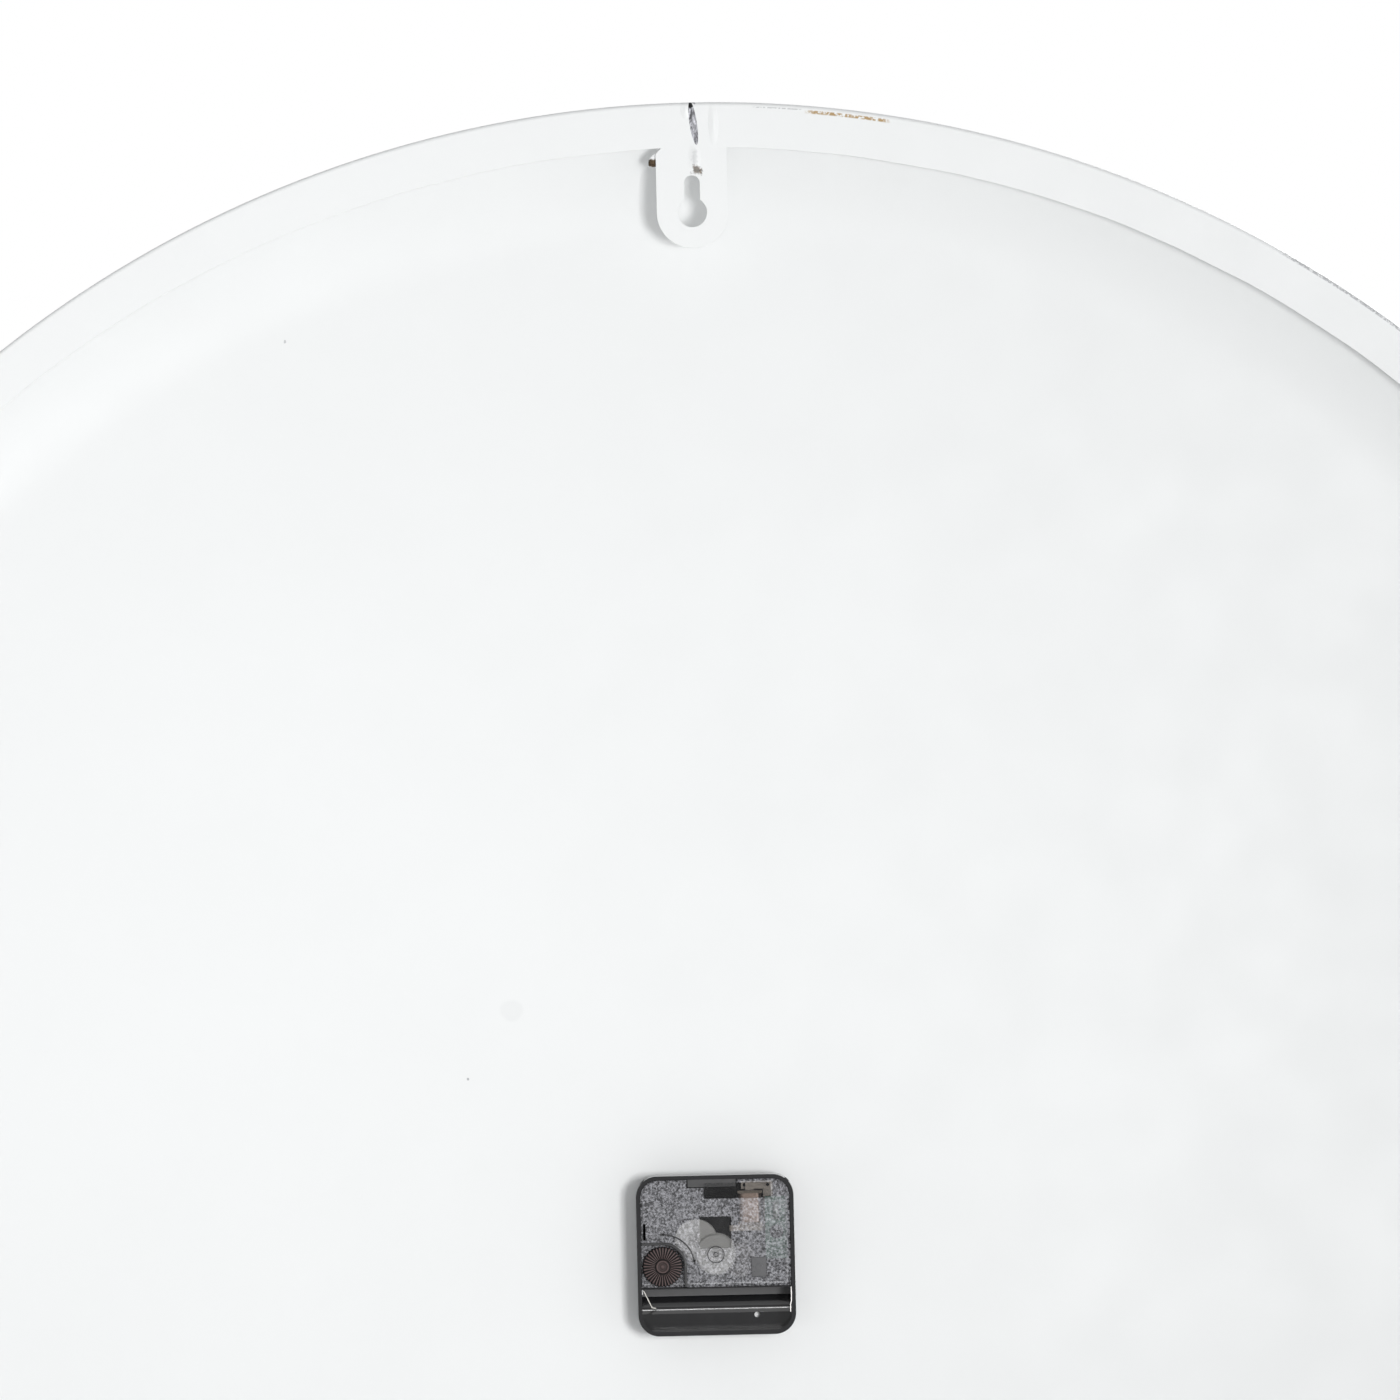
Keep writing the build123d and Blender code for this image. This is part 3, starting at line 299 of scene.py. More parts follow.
def tidy_mesh(piece, dissolve=False, inside=False):
    """Merges doubles and turns the faces outwards, or inwards."""
    edit(piece)
    bpy.ops.mesh.remove_doubles(threshold=MERGE)
    if dissolve:
        bpy.ops.mesh.dissolve_limited(angle_limit=FLAT)
        bpy.ops.mesh.select_all(action="SELECT")
    bpy.ops.mesh.normals_make_consistent(inside=inside)
    leave_edit()


def turned(name, profile, steps):
    """A round piece, drawn out ring by ring along a profile of (radius, level) points."""
    (radius, level), *rest = profile
    bpy.ops.mesh.primitive_circle_add(vertices=steps, radius=radius, location=(0, 0, level))
    piece = named(name)
    edit(piece)
    bpy.ops.mesh.select_mode(type="VERT")
    bpy.ops.mesh.select_all(action="SELECT")
    for next_radius, next_level in rest:
        bpy.ops.mesh.extrude_region_move(TRANSFORM_OT_translate={"value": (0, 0, next_level - level)})
        ratio = next_radius / radius
        bpy.ops.transform.resize(value=(ratio, ratio, 1), center_override=(0, 0, next_level))
        radius, level = next_radius, next_level
    leave_edit()
    tidy_mesh(piece)
    return piece


def hoop(name, radius, width, start, end, steps):
    """A ring with a square section, from one level to another."""
    inner, outer = radius - width / 2, radius + width / 2
    return turned(name, [(inner, start), (inner, end), (outer, end), (outer, start), (inner, start)], steps)


def fill_ends(piece):
    """Closes the open rings of a turned piece."""
    edit(piece)
    bpy.ops.mesh.select_mode(type="EDGE")
    bpy.ops.mesh.select_all(action="DESELECT")
    bpy.ops.mesh.select_non_manifold()
    bpy.ops.mesh.edge_face_add()
    leave_edit()


def bar(name, low, high):
    """A block between two corners."""
    low, high = Vector(low), Vector(high)
    bpy.ops.mesh.primitive_cube_add(size=1, location=(low + high) / 2)
    bpy.context.active_object.scale = high - low
    return named(name)


def field(name, at, width, height, low, high):
    """A block round a point of the bench, between two levels."""
    at, half = Vector(at), Vector((width / 2, height / 2))
    return bar(name, (*(at - half), low), (*(at + half), high))


def rod(name, radius, low, high, at=(0, 0), steps=64):
    """A round bar along z."""
    bpy.ops.mesh.primitive_cylinder_add(
        vertices=steps, radius=radius, depth=high - low, location=(at[0], at[1], (low + high) / 2)
    )
    return named(name)


def modify(piece, kind, **values):
    """Adds a modifier and applies it."""
    activate(piece)
    modifier = piece.modifiers.new(kind.title(), kind)
    for key, value in values.items():
        setattr(modifier, key, value)
    bpy.ops.object.modifier_apply(modifier=modifier.name)


def combine(piece, other, operation):
    """Joins another shape to a piece, or cuts it out of the piece."""
    modify(piece, "BOOLEAN", object=other, operation=operation, solver="EXACT")
    bpy.data.objects.remove(other)
    if not piece.data.polygons:
        raise RuntimeError(f"nothing is left of {piece.name}")


def join(pieces, name):
    """Joins several pieces in one."""
    activate(pieces[0])
    for piece in pieces:
        piece.select_set(True)
    bpy.ops.object.join()
    joined = bpy.context.active_object
    joined.name = name
    joined.data.name = name
    return joined


def round_edges(piece, width, segments=2):
    """Rounds the sharp edges."""
    modify(
        piece, "BEVEL", width=width, segments=segments, limit_method="ANGLE", angle_limit=SHARP,
        use_clamp_overlap=True, harden_normals=False,
    )


def smooth(piece, degrees):
    """Smooth shading, with the sharper edges kept."""
    activate(piece)
    bpy.ops.object.shade_smooth_by_angle(angle=math.radians(degrees))
    modify(piece, "WEIGHTED_NORMAL", keep_sharp=True, weight=100)


def copy_of(node, name):
    """A merged copy of a CAD node's mesh, laid on the bench."""
    mesh = frame["nodes"][node].data.copy()
    mesh.name = name
    mesh.materials.clear()
    mesh.transform(STAND.inverted())
    piece = added(name, mesh)
    tidy_mesh(piece, dissolve=True)
    return piece


def raise_above(piece, level, rise):
    """Moves up the vertices of a piece that lie above a level."""
    pick(piece, "VERT", lambda v: v.co.y > level)
    bpy.ops.transform.translate(value=(0, rise, 0))
    leave_edit()


def move_to_knob(piece):
    """Moves a piece from the middle of the bench to the setting knob's axis."""
    for vertex in piece.data.vertices:
        vertex.co.xy += knob_centre


def lay_along_seam(piece):
    """Turns a piece from upright to the open seam's lean and moves it there."""
    size = settings().pan
    outwards = 0.6 * MM
    piece.rotation_euler.z = -size.seam_lean
    piece.location = (-size.seam_offset, clock_radius - size.ring_width / 2 + outwards, 0)
    apply_place(piece)


def mount(piece, slot, *materials, body=BODY, nodes=(), sharp=35):
    """Shades a finished piece, stands it up in the frame, paints it and rides it on its body."""
    if sharp:
        smooth(piece, sharp)
    piece.matrix_world = STAND
    apply_place(piece)
    for material in materials:
        piece.data.materials.append(material)
    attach(piece, body)
    if nodes:
        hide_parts(*nodes)


def paint(material, *nodes):
    """Gives CAD nodes a finish."""
    for node in nodes:
        data = frame["nodes"][node].data
        data.materials.clear()
        data.materials.append(material)


# Material helpers


def shade(name):
    """One of the clock's colours."""
    return Vector(getattr(settings().colours, name))


class Nodes:
    """A node tree that is built up node by node."""

    def __init__(self, tree):
        self.tree = tree

    def add(self, kind, inputs, output=0, **values):
        """Adds a node, sets or links its inputs and returns one output."""
        made = self.tree.nodes.new("ShaderNode" + kind)
        for key, value in values.items():
            setattr(made, key, value)
        for key, value in inputs.items():
            if isinstance(value, bpy.types.NodeSocket):
                self.tree.links.new(value, made.inputs[key])
            else:
                made.inputs[key].default_value = value
        return made.outputs[output]

    def math(self, operation, first, second=0.0):
        """One sum."""
        return self.add("Math", {0: first, 1: second}, operation=operation)


class Finish(Nodes):
    """A procedural material on Object coordinates, with one main shader."""

    def __init__(self, name, **values):
        self.material = bpy.data.materials.new(name)
        self.material.use_nodes = True
        super().__init__(self.material.node_tree)
        self.shader = self.tree.nodes["Principled BSDF"]
        self.place = self.tree.nodes.new("ShaderNodeTexCoord").outputs["Object"]
        for key, value in values.items():
            socket = key.replace("_", " ").title().replace("Ior", "IOR")
            self.shader.inputs[socket].default_value = value

    def set(self, socket, value):
        """Links a value to the main shader."""
        self.tree.links.new(value, self.shader.inputs[socket])

    def noise(self, size, detail=2.0, stretch=None):
        """Noise with features of about this many millimetres."""
        place = self.place
        if stretch:
            place = self.add("Mapping", {"Vector": place, "Scale": stretch})
        return self.add("TexNoise", {"Vector": place, "Scale": 1 / (size * MM), "Detail": detail})

    def ranged(self, value, low, high, start=0.0, end=1.0):
        """Maps low to start and high to end."""
        return self.add(
            "MapRange", {"Value": value, "From Min": low, "From Max": high, "To Min": start, "To Max": end}
        )

    def uneven(self, size, low=0.0, high=1.0):
        """A value that wanders between two others over about this many millimetres."""
        return self.ranged(self.noise(size, 3.0), 0.3, 0.7, low, high)

    def mixed(self, share, first, second):
        """A colour between two others."""
        first, second = [(*c, 1) if not isinstance(c, bpy.types.NodeSocket) else c for c in (first, second)]
        return self.add("Mix", {0: share, 6: first, 7: second}, output=2, data_type="RGBA")

    def tint(self, share, first, second):
        """Gives the shader a colour between two others."""
        self.set("Base Color", self.mixed(share, first, second))

    def bump(self, height, distance):
        """Fine relief, in millimetres, under the shading."""
        self.set("Normal", self.add("Bump", {"Height": height, "Distance": distance * MM}))


def seen_from_behind(across, up):
    """A point of the frame from millimetres right of and above the clock's axis, as seen from behind."""
    return Vector((-across * MM, 0, axis_height + up * MM))


def blot(finish, across, up, half_width, half_height, ragged=0.35, soft=0.25):
    """A ragged patch on the rear, in millimetres as seen from behind, as a mask from 0 to 1."""
    centre = seen_from_behind(across, up)
    scale = Vector((1 / (half_width * MM), 0, 1 / (half_height * MM)))
    offset = -centre * scale
    local = finish.add("Mapping", {"Vector": finish.place, "Location": offset, "Scale": scale})
    away = finish.add("VectorMath", {0: local}, output=1, operation="LENGTH")
    rough = finish.noise(min(half_width, half_height), 3.0)
    ragged_edge = finish.math("ADD", away, finish.ranged(rough, 0, 1, -ragged, ragged))
    return finish.ranged(ragged_edge, 1.0, 1.0 - soft)


def rim_wear(finish, start, end, inset, width, grain):
    """Broken wear on the rim, between two directions in degrees clockwise from twelve seen from behind."""
    local = finish.add("Mapping", {"Vector": finish.place, "Location": -seen_from_behind(0, 0)})
    flat = finish.add("VectorMath", {0: local, 1: (1, 0, 1)}, operation="MULTIPLY")
    away = finish.add("VectorMath", {0: flat}, output=1, operation="LENGTH")
    beside_line = finish.math("ABSOLUTE", finish.math("SUBTRACT", away, clock_radius - inset * MM))
    across = finish.ranged(beside_line, width * MM / 2, width * MM / 4)
    left = finish.add("SeparateXYZ", {0: local}, output=0)
    up = finish.add("SeparateXYZ", {0: local}, output=2)
    turn = finish.math("ARCTAN2", finish.math("MULTIPLY", left, -1.0), up)
    middle, half = math.radians((start + end) / 2), math.radians((end - start) / 2)
    beside_middle = finish.math("ABSOLUTE", finish.math("SUBTRACT", turn, middle))
    along = finish.ranged(beside_middle, half, half * 0.8)
    broken = finish.ranged(finish.noise(grain, 4.0), 0.40, 0.52)
    return finish.math("MULTIPLY", finish.math("MULTIPLY", along, across), broken)


def masked(mask, *values, share=1.0):
    """A mask that a finish can draw later, at full strength or less."""
    return lambda finish: finish.math("MULTIPLY", mask(finish, *values), share)


def mottled_rust(finish, size, dark, pale):
    """Rust that varies between two shares of its colour."""
    mottle = finish.ranged(finish.noise(size, 3.0), 0.4, 0.6)
    return finish.mixed(mottle, shade("rust") * dark, shade("rust") * pale)


def enamel(name, ochre=(), rust=(), grey=(), runs=(), painted_shade_factor=1.0):
    """White stove enamel with orange peel, masks for its coloured marks and its thick runs, and a factor that
    darkens its white as painted shade.
    """
    finish = Finish(name, specular_ior_level=0.3)
    # A factor below one darkens the whole white as painted shade
    pale = shade("enamel") * painted_shade_factor
    base = finish.mixed(finish.uneven(90), pale * 0.985, pale)
    roughness = finish.uneven(25, 0.36, 0.48)
    for masks, mark in ((grey, shade("bare")), (ochre, shade("ochre"))):
        for mask in masks:
            base = finish.mixed(mask(finish), base, mark)
    for mask in rust:
        spot = mask(finish)
        base = finish.mixed(spot, base, mottled_rust(finish, 0.9, 0.3, 1.0))
        roughness = finish.math("MAXIMUM", roughness, finish.math("MULTIPLY", spot, 0.8))
    finish.set("Base Color", base)
    finish.set("Roughness", roughness)
    broad = finish.math("MULTIPLY", finish.noise(14), 2.0)
    peel = finish.math("ADD", finish.noise(3.2, 2.0), broad)
    for mask in runs:
        peel = finish.math("ADD", peel, finish.math("MULTIPLY", mask(finish), 18.0))
    finish.bump(peel, 0.02)
    return finish.material


def black_moulding(name, roughness=0.08, level=0.35):
    """Black moulded plastic with faint flow marks."""
    finish = Finish(name, specular_ior_level=level)
    black = shade("black")
    finish.tint(finish.noise(6, 3.0), black * 0.7, black * 1.5)
    finish.set("Roughness", finish.uneven(4, roughness * 0.8, roughness * 1.3))
    finish.bump(finish.noise(0.8, 2.0), 0.001)
    return finish.material


def grained_smoke(name):
    """Smoky see-through plastic with an etched grain, painted into the colour as dark and bright flecks; the
    bright flecks are painted sparkle.
    """
    smoke = shade("smoke")
    finish = Finish(name, specular_ior_level=0.3, roughness=0.5, alpha=0.34)
    grain = finish.noise(0.7, 1.0)
    # Grain tone together with painted sparkle: flecks from far darker to far brighter than the smoke
    finish.tint(finish.ranged(grain, 0.36, 0.66), smoke * 0.15, smoke * 2.25)
    finish.bump(grain, 0.03)
    return finish.material


def clear_smoke(name):
    """The same plastic where it is polished."""
    smoke = shade("smoke")
    finish = Finish(name, specular_ior_level=0.3, roughness=0.15, alpha=0.30)
    finish.tint(finish.noise(2), smoke * 0.03, smoke * 0.08)
    return finish.material


def moulding(name, base, roughness):
    """Plain moulded plastic or rubber with a slight uneven tone."""
    base = Vector(base)
    finish = Finish(name, specular_ior_level=0.4)
    finish.tint(finish.noise(3, 3.0), base * 0.88, base * 1.08)
    finish.set("Roughness", finish.uneven(1.5, roughness * 0.85, roughness * 1.15))
    finish.bump(finish.noise(0.8, 2.0), 0.006)
    return finish.material


def grooved_brown(name, bottom, top):
    """Brown plastic with painted shade and light: near black down in the grooves, a lighter lit tone on the rib
    tops, between two levels along Y.
    """
    brown = shade("brown")
    finish = Finish(name, specular_ior_level=0.12, roughness=0.42)
    level = finish.add("SeparateXYZ", {0: finish.place}, output=1)
    lit_rib_tone = finish.mixed(finish.noise(2, 3.0), brown * 2.2, brown * 3.1)
    # Painted shade in the grooves and a painted lit tone on the rib tops
    finish.tint(finish.ranged(level, bottom, top), brown * 0.05, lit_rib_tone)
    finish.bump(finish.noise(0.8, 2.0), 0.006)
    return finish.material


def metal(name, base, roughness, grain=0.25):
    """Worked metal with fine tool marks."""
    base = Vector(base)
    finish = Finish(name, metallic=1.0)
    marks = finish.noise(grain, 3.0)
    finish.tint(finish.noise(4, 3.0), base * 0.85, base)
    finish.set("Roughness", finish.ranged(marks, 0.3, 0.7, roughness * 0.75, roughness * 1.3))
    finish.bump(marks, 0.004)
    return finish.material


def wound_copper(name):
    """Copper wire wound in close turns along the coil."""
    base = Vector((0.54, 0.41, 0.34))
    finish = Finish(name, metallic=0.9, roughness=0.38)
    turns = finish.add(
        "TexWave", {"Vector": finish.place, "Scale": 1 / (0.9 * MM), "Distortion": 0.4}, output=1,
        bands_direction="Z",
    )
    finish.tint(turns, base * 0.6, base)
    finish.bump(turns, 0.02)
    return finish.material


def green_laminate(name):
    """Circuit board with paler tracks under its lacquer."""
    finish = Finish(name, specular_ior_level=0.5, roughness=0.3)
    tracks = finish.add("TexVoronoi", {"Vector": finish.place, "Scale": 1 / (2.2 * MM)})
    finish.tint(finish.ranged(tracks, 0.25, 0.35), (0.28, 0.44, 0.36), (0.14, 0.25, 0.20))
    finish.bump(tracks, 0.01)
    return finish.material


def bare_weld(name):
    """Bare grey weld metal in streaks, near black in a patch at the seam's outer end."""
    base = shade("bare")
    finish = Finish(name, metallic=0.6, roughness=0.5)
    streaks = finish.noise(0.7, 4.0, (1.0, 1.0, 0.25))
    grey = finish.mixed(finish.ranged(streaks, 0.38, 0.62), base * 0.45, base * 2.2)
    finish.tint(blot(finish, 0.2, 405.4, 1.2, 1.0), grey, base * 0.05)
    finish.bump(streaks, 0.15)
    return finish.material


def rusty_end(name):
    """Enamel that gives way to rust below."""
    finish = Finish(name, specular_ior_level=0.3)
    patch = blot(finish, -13.6, 385.2, 2.0, 1.7, 0.6)
    finish.tint(patch, shade("enamel"), mottled_rust(finish, 1.0, 0.15, 0.7))
    finish.set("Roughness", finish.ranged(patch, 0, 1, 0.4, 0.85))
    finish.bump(finish.noise(0.6, 4.0), 0.05)
    return finish.material


# Operators, one for each piece or group of like pieces


class CLOCK_OT_pan(bpy.types.Operator):
    """Spin the white pan: flat dial and wide rounded edge"""

    bl_idname = "wall_clock.pan"
    bl_label = "Pan"

    def execute(self, context):
        size = settings().pan
        bend = clock_radius - size.edge_width
        drop = dial_front - ring_sheet
        edge_radius = (size.edge_width**2 + drop**2) / (2 * drop)
        edge_level = dial_front - edge_radius
        bend_steps, flat_steps = 18, 22
        wave_size = 110 * MM

        def arc(radius):
            last = math.acos((ring_sheet - edge_level) / radius)
            turns = [last * step / bend_steps for step in range(bend_steps + 1)]
            return [(bend + radius * math.sin(t), edge_level + radius * math.cos(t)) for t in turns]

        across = [size.bore + (bend - size.bore) * step / flat_steps for step in range(flat_steps)]
        outside = [(radius, dial_front) for radius in across] + arc(edge_radius)
        inside = [(radius, dial_front - size.sheet) for radius in across] + arc(edge_radius - size.sheet)
        pan = turned("pan_shell", outside + inside[::-1] + outside[:1], ROUND_STEPS)
        for vertex in pan.data.vertices:
            away = vertex.co.xy.length / bend
            # The waves die out towards the bore and the bend
            hold = max(0.0, 1 - away**8) * min(1.0, away * 6)
            spot = Vector((*vertex.co.xy, 0)) / wave_size
            vertex.co.z += size.waviness * hold * noise.noise(spot)
        marks = [
            masked(blot, -70.6, 87.3, 4.6, 4.2, 0.2, share=0.06),
            masked(blot, -145.3, 325.9, 0.5, 0.7, share=0.5),
            masked(blot, -86.4, 63.3, 0.5, 0.5, share=0.7),
        ]
        # The pan's white is painted slightly darker than the ring's, as painted shade for the dish inside the ring
        mount(pan, "white_enamel", enamel("pan_enamel", grey=marks, painted_shade_factor=0.975), nodes=["dial_pan"])
        return {"FINISHED"}


class CLOCK_OT_ring(bpy.types.Operator):
    """Make the flat rear ring with its keyhole tab and open weld seam"""

    bl_idname = "wall_clock.ring"
    bl_label = "Rear ring and hanger tab"

    def execute(self, context):
        size = settings().pan
        inner = clock_radius - size.ring_width
        corner, corner_steps = size.ring_corner, 5
        turns = [math.pi / 2 * step / corner_steps for step in range(corner_steps + 1)]
        arc = [
            (clock_radius - corner + corner * math.sin(t), corner - corner * math.cos(t)) for t in turns
        ]
        profile = [(inner, 0), *arc, (clock_radius, ring_sheet), (inner, ring_sheet), (inner, 0)]
        ring = turned("ring_and_tab", profile, ROUND_STEPS)
        shear_size, shear_depth = 22 * MM, 0.35 * MM
        for vertex in ring.data.vertices:
            flat = vertex.co.xy
            if flat.length < clock_radius - size.ring_width / 2:
                rough = noise.noise(Vector((*flat, 0)) / shear_size)
                vertex.co.xy = flat * (1 + rough * shear_depth / inner)
        half_tab, cut = bench("hanger_plate")[1].x, size.tab_corner
        tab = rod("tab", half_tab, 0, ring_sheet, keyhole_centre, steps=96)
        raise_above(tab, keyhole_centre.y - MERGE, inner - keyhole_centre.y)
        wedge = bar("wedge", (-cut, -cut, -MM), (cut, cut, 2 * MM))
        wedge.rotation_euler.z = math.pi / 4
        wedge.location = (half_tab + cut / 2, inner, 0)
        apply_place(wedge)
        combine(tab, wedge, "DIFFERENCE")
        combine(ring, tab, "UNION")
        entry = frame["record"]["mounts"][0]["dims"]["r_mm"] * MM
        combine(ring, rod("entry", entry, -MM, 2 * ring_sheet, keyhole_centre), "DIFFERENCE")
        slot = rod("slot", size.slot / 2, -MM, 2 * ring_sheet, keyhole_centre)
        raise_above(slot, keyhole_centre.y + MERGE, size.slot_rise)
        combine(ring, slot, "DIFFERENCE")
        seam = rod("seam", 1, -MM, 2 * ring_sheet)
        seam.scale = (size.seam_width / 2, size.seam_length / 2, 1)
        lay_along_seam(seam)
        combine(ring, seam, "DIFFERENCE")
        tidy_mesh(ring)
        round_edges(ring, size.ring_rounding, segments=3)
        ochre = [masked(rim_wear, 5.7, 10.1, 2.2, 1.5, 1.3)]
        rust = [
            masked(blot, 1.7, 382.4, 1.8, 2.3, 1.3, 0.5, share=0.8),
            masked(blot, 3.3, 382.0, 0.7, 1.4, 1.1, 0.5, share=0.8),
        ]
        grey = [
            masked(rim_wear, 3.1, 5.7, 1.6, 0.6, 1.2, share=0.5),
            masked(rim_wear, 30.5, 40.0, 0.9, 1.2, 1.0, share=0.6),
            masked(blot, 1.2, 386.6, 1.3, 4.2, 0.9, 0.6, share=0.3),
        ]
        runs = [
            masked(blot, 8.1, 399.0, 1.8, 8.0, 0.05, 1.0),
            masked(blot, -1.6, 404.0, 1.8, 3.4, 0.05, 1.0),
            masked(blot, 1.2, 387.0, 2.2, 5.4, 0.2, 1.0),
        ]
        material = enamel("ring_enamel", ochre, rust, grey, runs)
        mount(ring, "white_enamel", material, nodes=["rear_ring", "hanger_plate"])
        return {"FINISHED"}


class CLOCK_OT_hanger(bpy.types.Operator):
    """Lay the strap behind the tab's joint and the weld in the open seam"""

    bl_idname = "wall_clock.hanger"
    bl_label = "Strap and weld"

    def execute(self, context):
        self.strap()
        self.weld()
        return {"FINISHED"}

    def strap(self):
        size = settings().pan
        low, high = bench("hanger_strap")
        corner = (high.x, low.y + size.strap_corner, 0)
        strap = bar("strap", low, high)
        edit(strap)
        bpy.ops.mesh.bisect(plane_co=corner, plane_no=(1, 1, 0), use_fill=True, clear_outer=True)
        leave_edit()
        round_edges(strap, size.ring_rounding)
        mount(strap, "white_enamel", rusty_end("strap_enamel"), nodes=["hanger_strap"])

    def weld(self):
        size = settings().pan
        columns, rows = 14, 70
        side_lap, end_lap = 1.3, 1.04
        lump_size, weld_sheet = 0.9 * MM, 0.4 * MM
        reach = clock_radius - 0.1 * MM
        bpy.ops.mesh.primitive_grid_add(x_subdivisions=columns, y_subdivisions=rows, size=1)
        bpy.context.active_object.scale = (size.seam_width * side_lap, size.seam_length * end_lap, 1)
        weld = named("weld_fill")
        for vertex in weld.data.vertices:
            across = vertex.co.x / size.seam_width
            lump = noise.noise(vertex.co / lump_size)
            vertex.co.z = ring_sheet * (0.5 + 0.5 * across + 0.25 * lump)
        modify(weld, "SOLIDIFY", thickness=weld_sheet, offset=1.0)
        lay_along_seam(weld)
        for vertex in weld.data.vertices:
            vertex.co.xy *= min(1.0, reach / vertex.co.xy.length)
        # The inside of so thin and lumpy a shell is taken for its outside
        tidy_mesh(weld, inside=True)
        mount(weld, "white_enamel", bare_weld("weld_metal"), sharp=60)


class CLOCK_OT_movement(bpy.types.Operator):
    """Round the moulded edges of the movement's case and cover"""

    bl_idname = "wall_clock.movement"
    bl_label = "Movement case and cover"

    def execute(self, context):
        self.case()
        panes = self.cover()
        self.pocket()
        windows = join(panes, "cover_windows")
        mount(windows, "smoky_plastic", clear_smoke("window_smoke"))
        return {"FINISHED"}

    def case(self):
        case = copy_of("movement_case", "case_shell")
        round_edges(case, settings().movement.case_rounding)
        low, high = bench("movement_case")
        cover_foot = bench("rear_cover")[0].y - MM
        bay_top, cradle_rear, chamber_rear = -10 * MM, low.z + 4 * MM, low.z + 0.5 * MM
        latch_foot, latch_half = high.y - 5 * MM, 10.5 * MM
        wall = 1.6 * MM
        for face in case.data.polygons:
            up, out = face.normal.y, face.normal.z
            beside, y, z = abs(face.center.x), face.center.y, face.center.z
            in_bay = y < bay_top and abs(face.normal.x) < 0.1
            in_chamber = cover_foot < y < high.y - wall and beside < high.x - wall
            if in_bay and up < -0.6 and out < -0.6:
                face.material_index = LEDGE
            elif in_bay and out < -0.2 and abs(up) > 0.05 and z > cradle_rear:
                face.material_index = CRADLE
            elif out < -0.9 and y > latch_foot and beside < latch_half:
                face.material_index = LATCH
            elif in_chamber and z > chamber_rear:
                face.material_index = CHAMBER
        # The bay's downward-slanting ledge gets a mid grey, far lighter than the black of the case
        mount(
            case, "black_plastic", black_moulding("case_black"),
            moulding("ledge_mid_grey", (0.175, 0.175, 0.177), 0.5), black_moulding("cradle_gloss", 0.1, 1.0),
            moulding("latch_satin", (0.03, 0.03, 0.031), 0.45), black_moulding("chamber_matt", 0.6, 0.15),
            nodes=["movement_case"],
        )

    def cover(self):
        size = settings().movement
        cover = copy_of("rear_cover", "cover_shell")
        front = cover_rear + size.cover_sheet
        play = 0.04 * MM
        panes = []
        for at, width, height in (
            (size.square_at, size.square_window, size.square_window),
            (size.long_at, size.long_window, size.long_window_height),
        ):
            combine(cover, field("hole", at, width, height, cover_rear - MM, front + MM), "DIFFERENCE")
            pane = field("pane", at, width - play, height - play, cover_rear, front)
            round_edges(pane, 0.08 * MM)
            panes.append(pane)
        tidy_mesh(cover, dissolve=True)
        round_edges(cover, size.case_rounding / 2)
        # The side faces get an opaque, near-black finish: painted shade that draws a dark outline round the cover
        for face in cover.data.polygons:
            face.material_index = int(abs(face.normal.z) < 0.7)
        painted_edge_shade = moulding("cover_edge_painted_shade", shade("smoke") * 0.12, 0.4)
        mount(cover, "smoky_plastic", grained_smoke("cover_smoke"), painted_edge_shade, nodes=["rear_cover"])
        return panes

    def pocket(self):
        size = settings().movement
        width, height = 5.3 * MM, 6.9 * MM
        mark_rear, pad_rear, mark_front, pad_front = [cover_rear + d * MM for d in (0.3, 0.45, 0.5, 0.75)]
        pad = field("pocket_pad", size.pocket_at, width, height, pad_rear, pad_front)
        round_edges(pad, 0.12 * MM)
        mark = rod("mark", size.pocket_mark, mark_rear, mark_front, size.pocket_at)
        round_edges(mark, 0.08 * MM)
        pocket = join([pad, mark], "pocket_pad")
        mount(pocket, "smoky_plastic", moulding("pocket_smoke", shade("smoke") * 0.22, 0.3))


class CLOCK_OT_cover_marks(bpy.types.Operator):
    """Raise the ring over the centre and the curved setting arrow on the cover"""

    bl_idname = "wall_clock.cover_marks"
    bl_label = "Cover marks"

    def execute(self, context):
        size = settings().movement
        proud, sunk = cover_rear - 0.12 * MM, cover_rear + 0.1 * MM
        rounding = 0.04 * MM
        ring_width, inner_ring = 0.3 * MM, 0.75 * MM
        radii = (size.hub_ring, inner_ring)
        rings = [hoop("hub_ring", radius, ring_width, sunk, proud, steps=48) for radius in radii]
        hub = join(rings, "hub_ring")
        round_edges(hub, rounding)
        mount(hub, "smoky_plastic", black_moulding("mark_dark", 0.4))
        line = hoop("setting_arrow", size.arrow_radius, size.arrow_width, sunk, proud, steps=180)
        start, end = size.arrow_start, size.arrow_end
        cut_away(line, lambda f: not start < math.atan2(f.center.y, f.center.x) < end)
        fill_ends(line)
        heads = []
        for turn, flip in ((start, math.pi), (end, 0)):
            bpy.ops.mesh.primitive_cone_add(vertices=3, radius1=1, radius2=1, depth=1)
            head = bpy.context.active_object
            head.scale = (size.arrow_width * 1.5, size.arrow_head * 0.66, sunk - proud)
            head.rotation_euler.z = turn + flip
            head.location = (
                size.arrow_radius * math.cos(turn), size.arrow_radius * math.sin(turn), (sunk + proud) / 2
            )
            heads.append(named("arrow_head"))
        arrow = join([line, *heads], "setting_arrow")
        move_to_knob(arrow)
        round_edges(arrow, rounding)
        mount(arrow, "smoky_plastic", black_moulding("arrow_dark", 0.4))
        return {"FINISHED"}


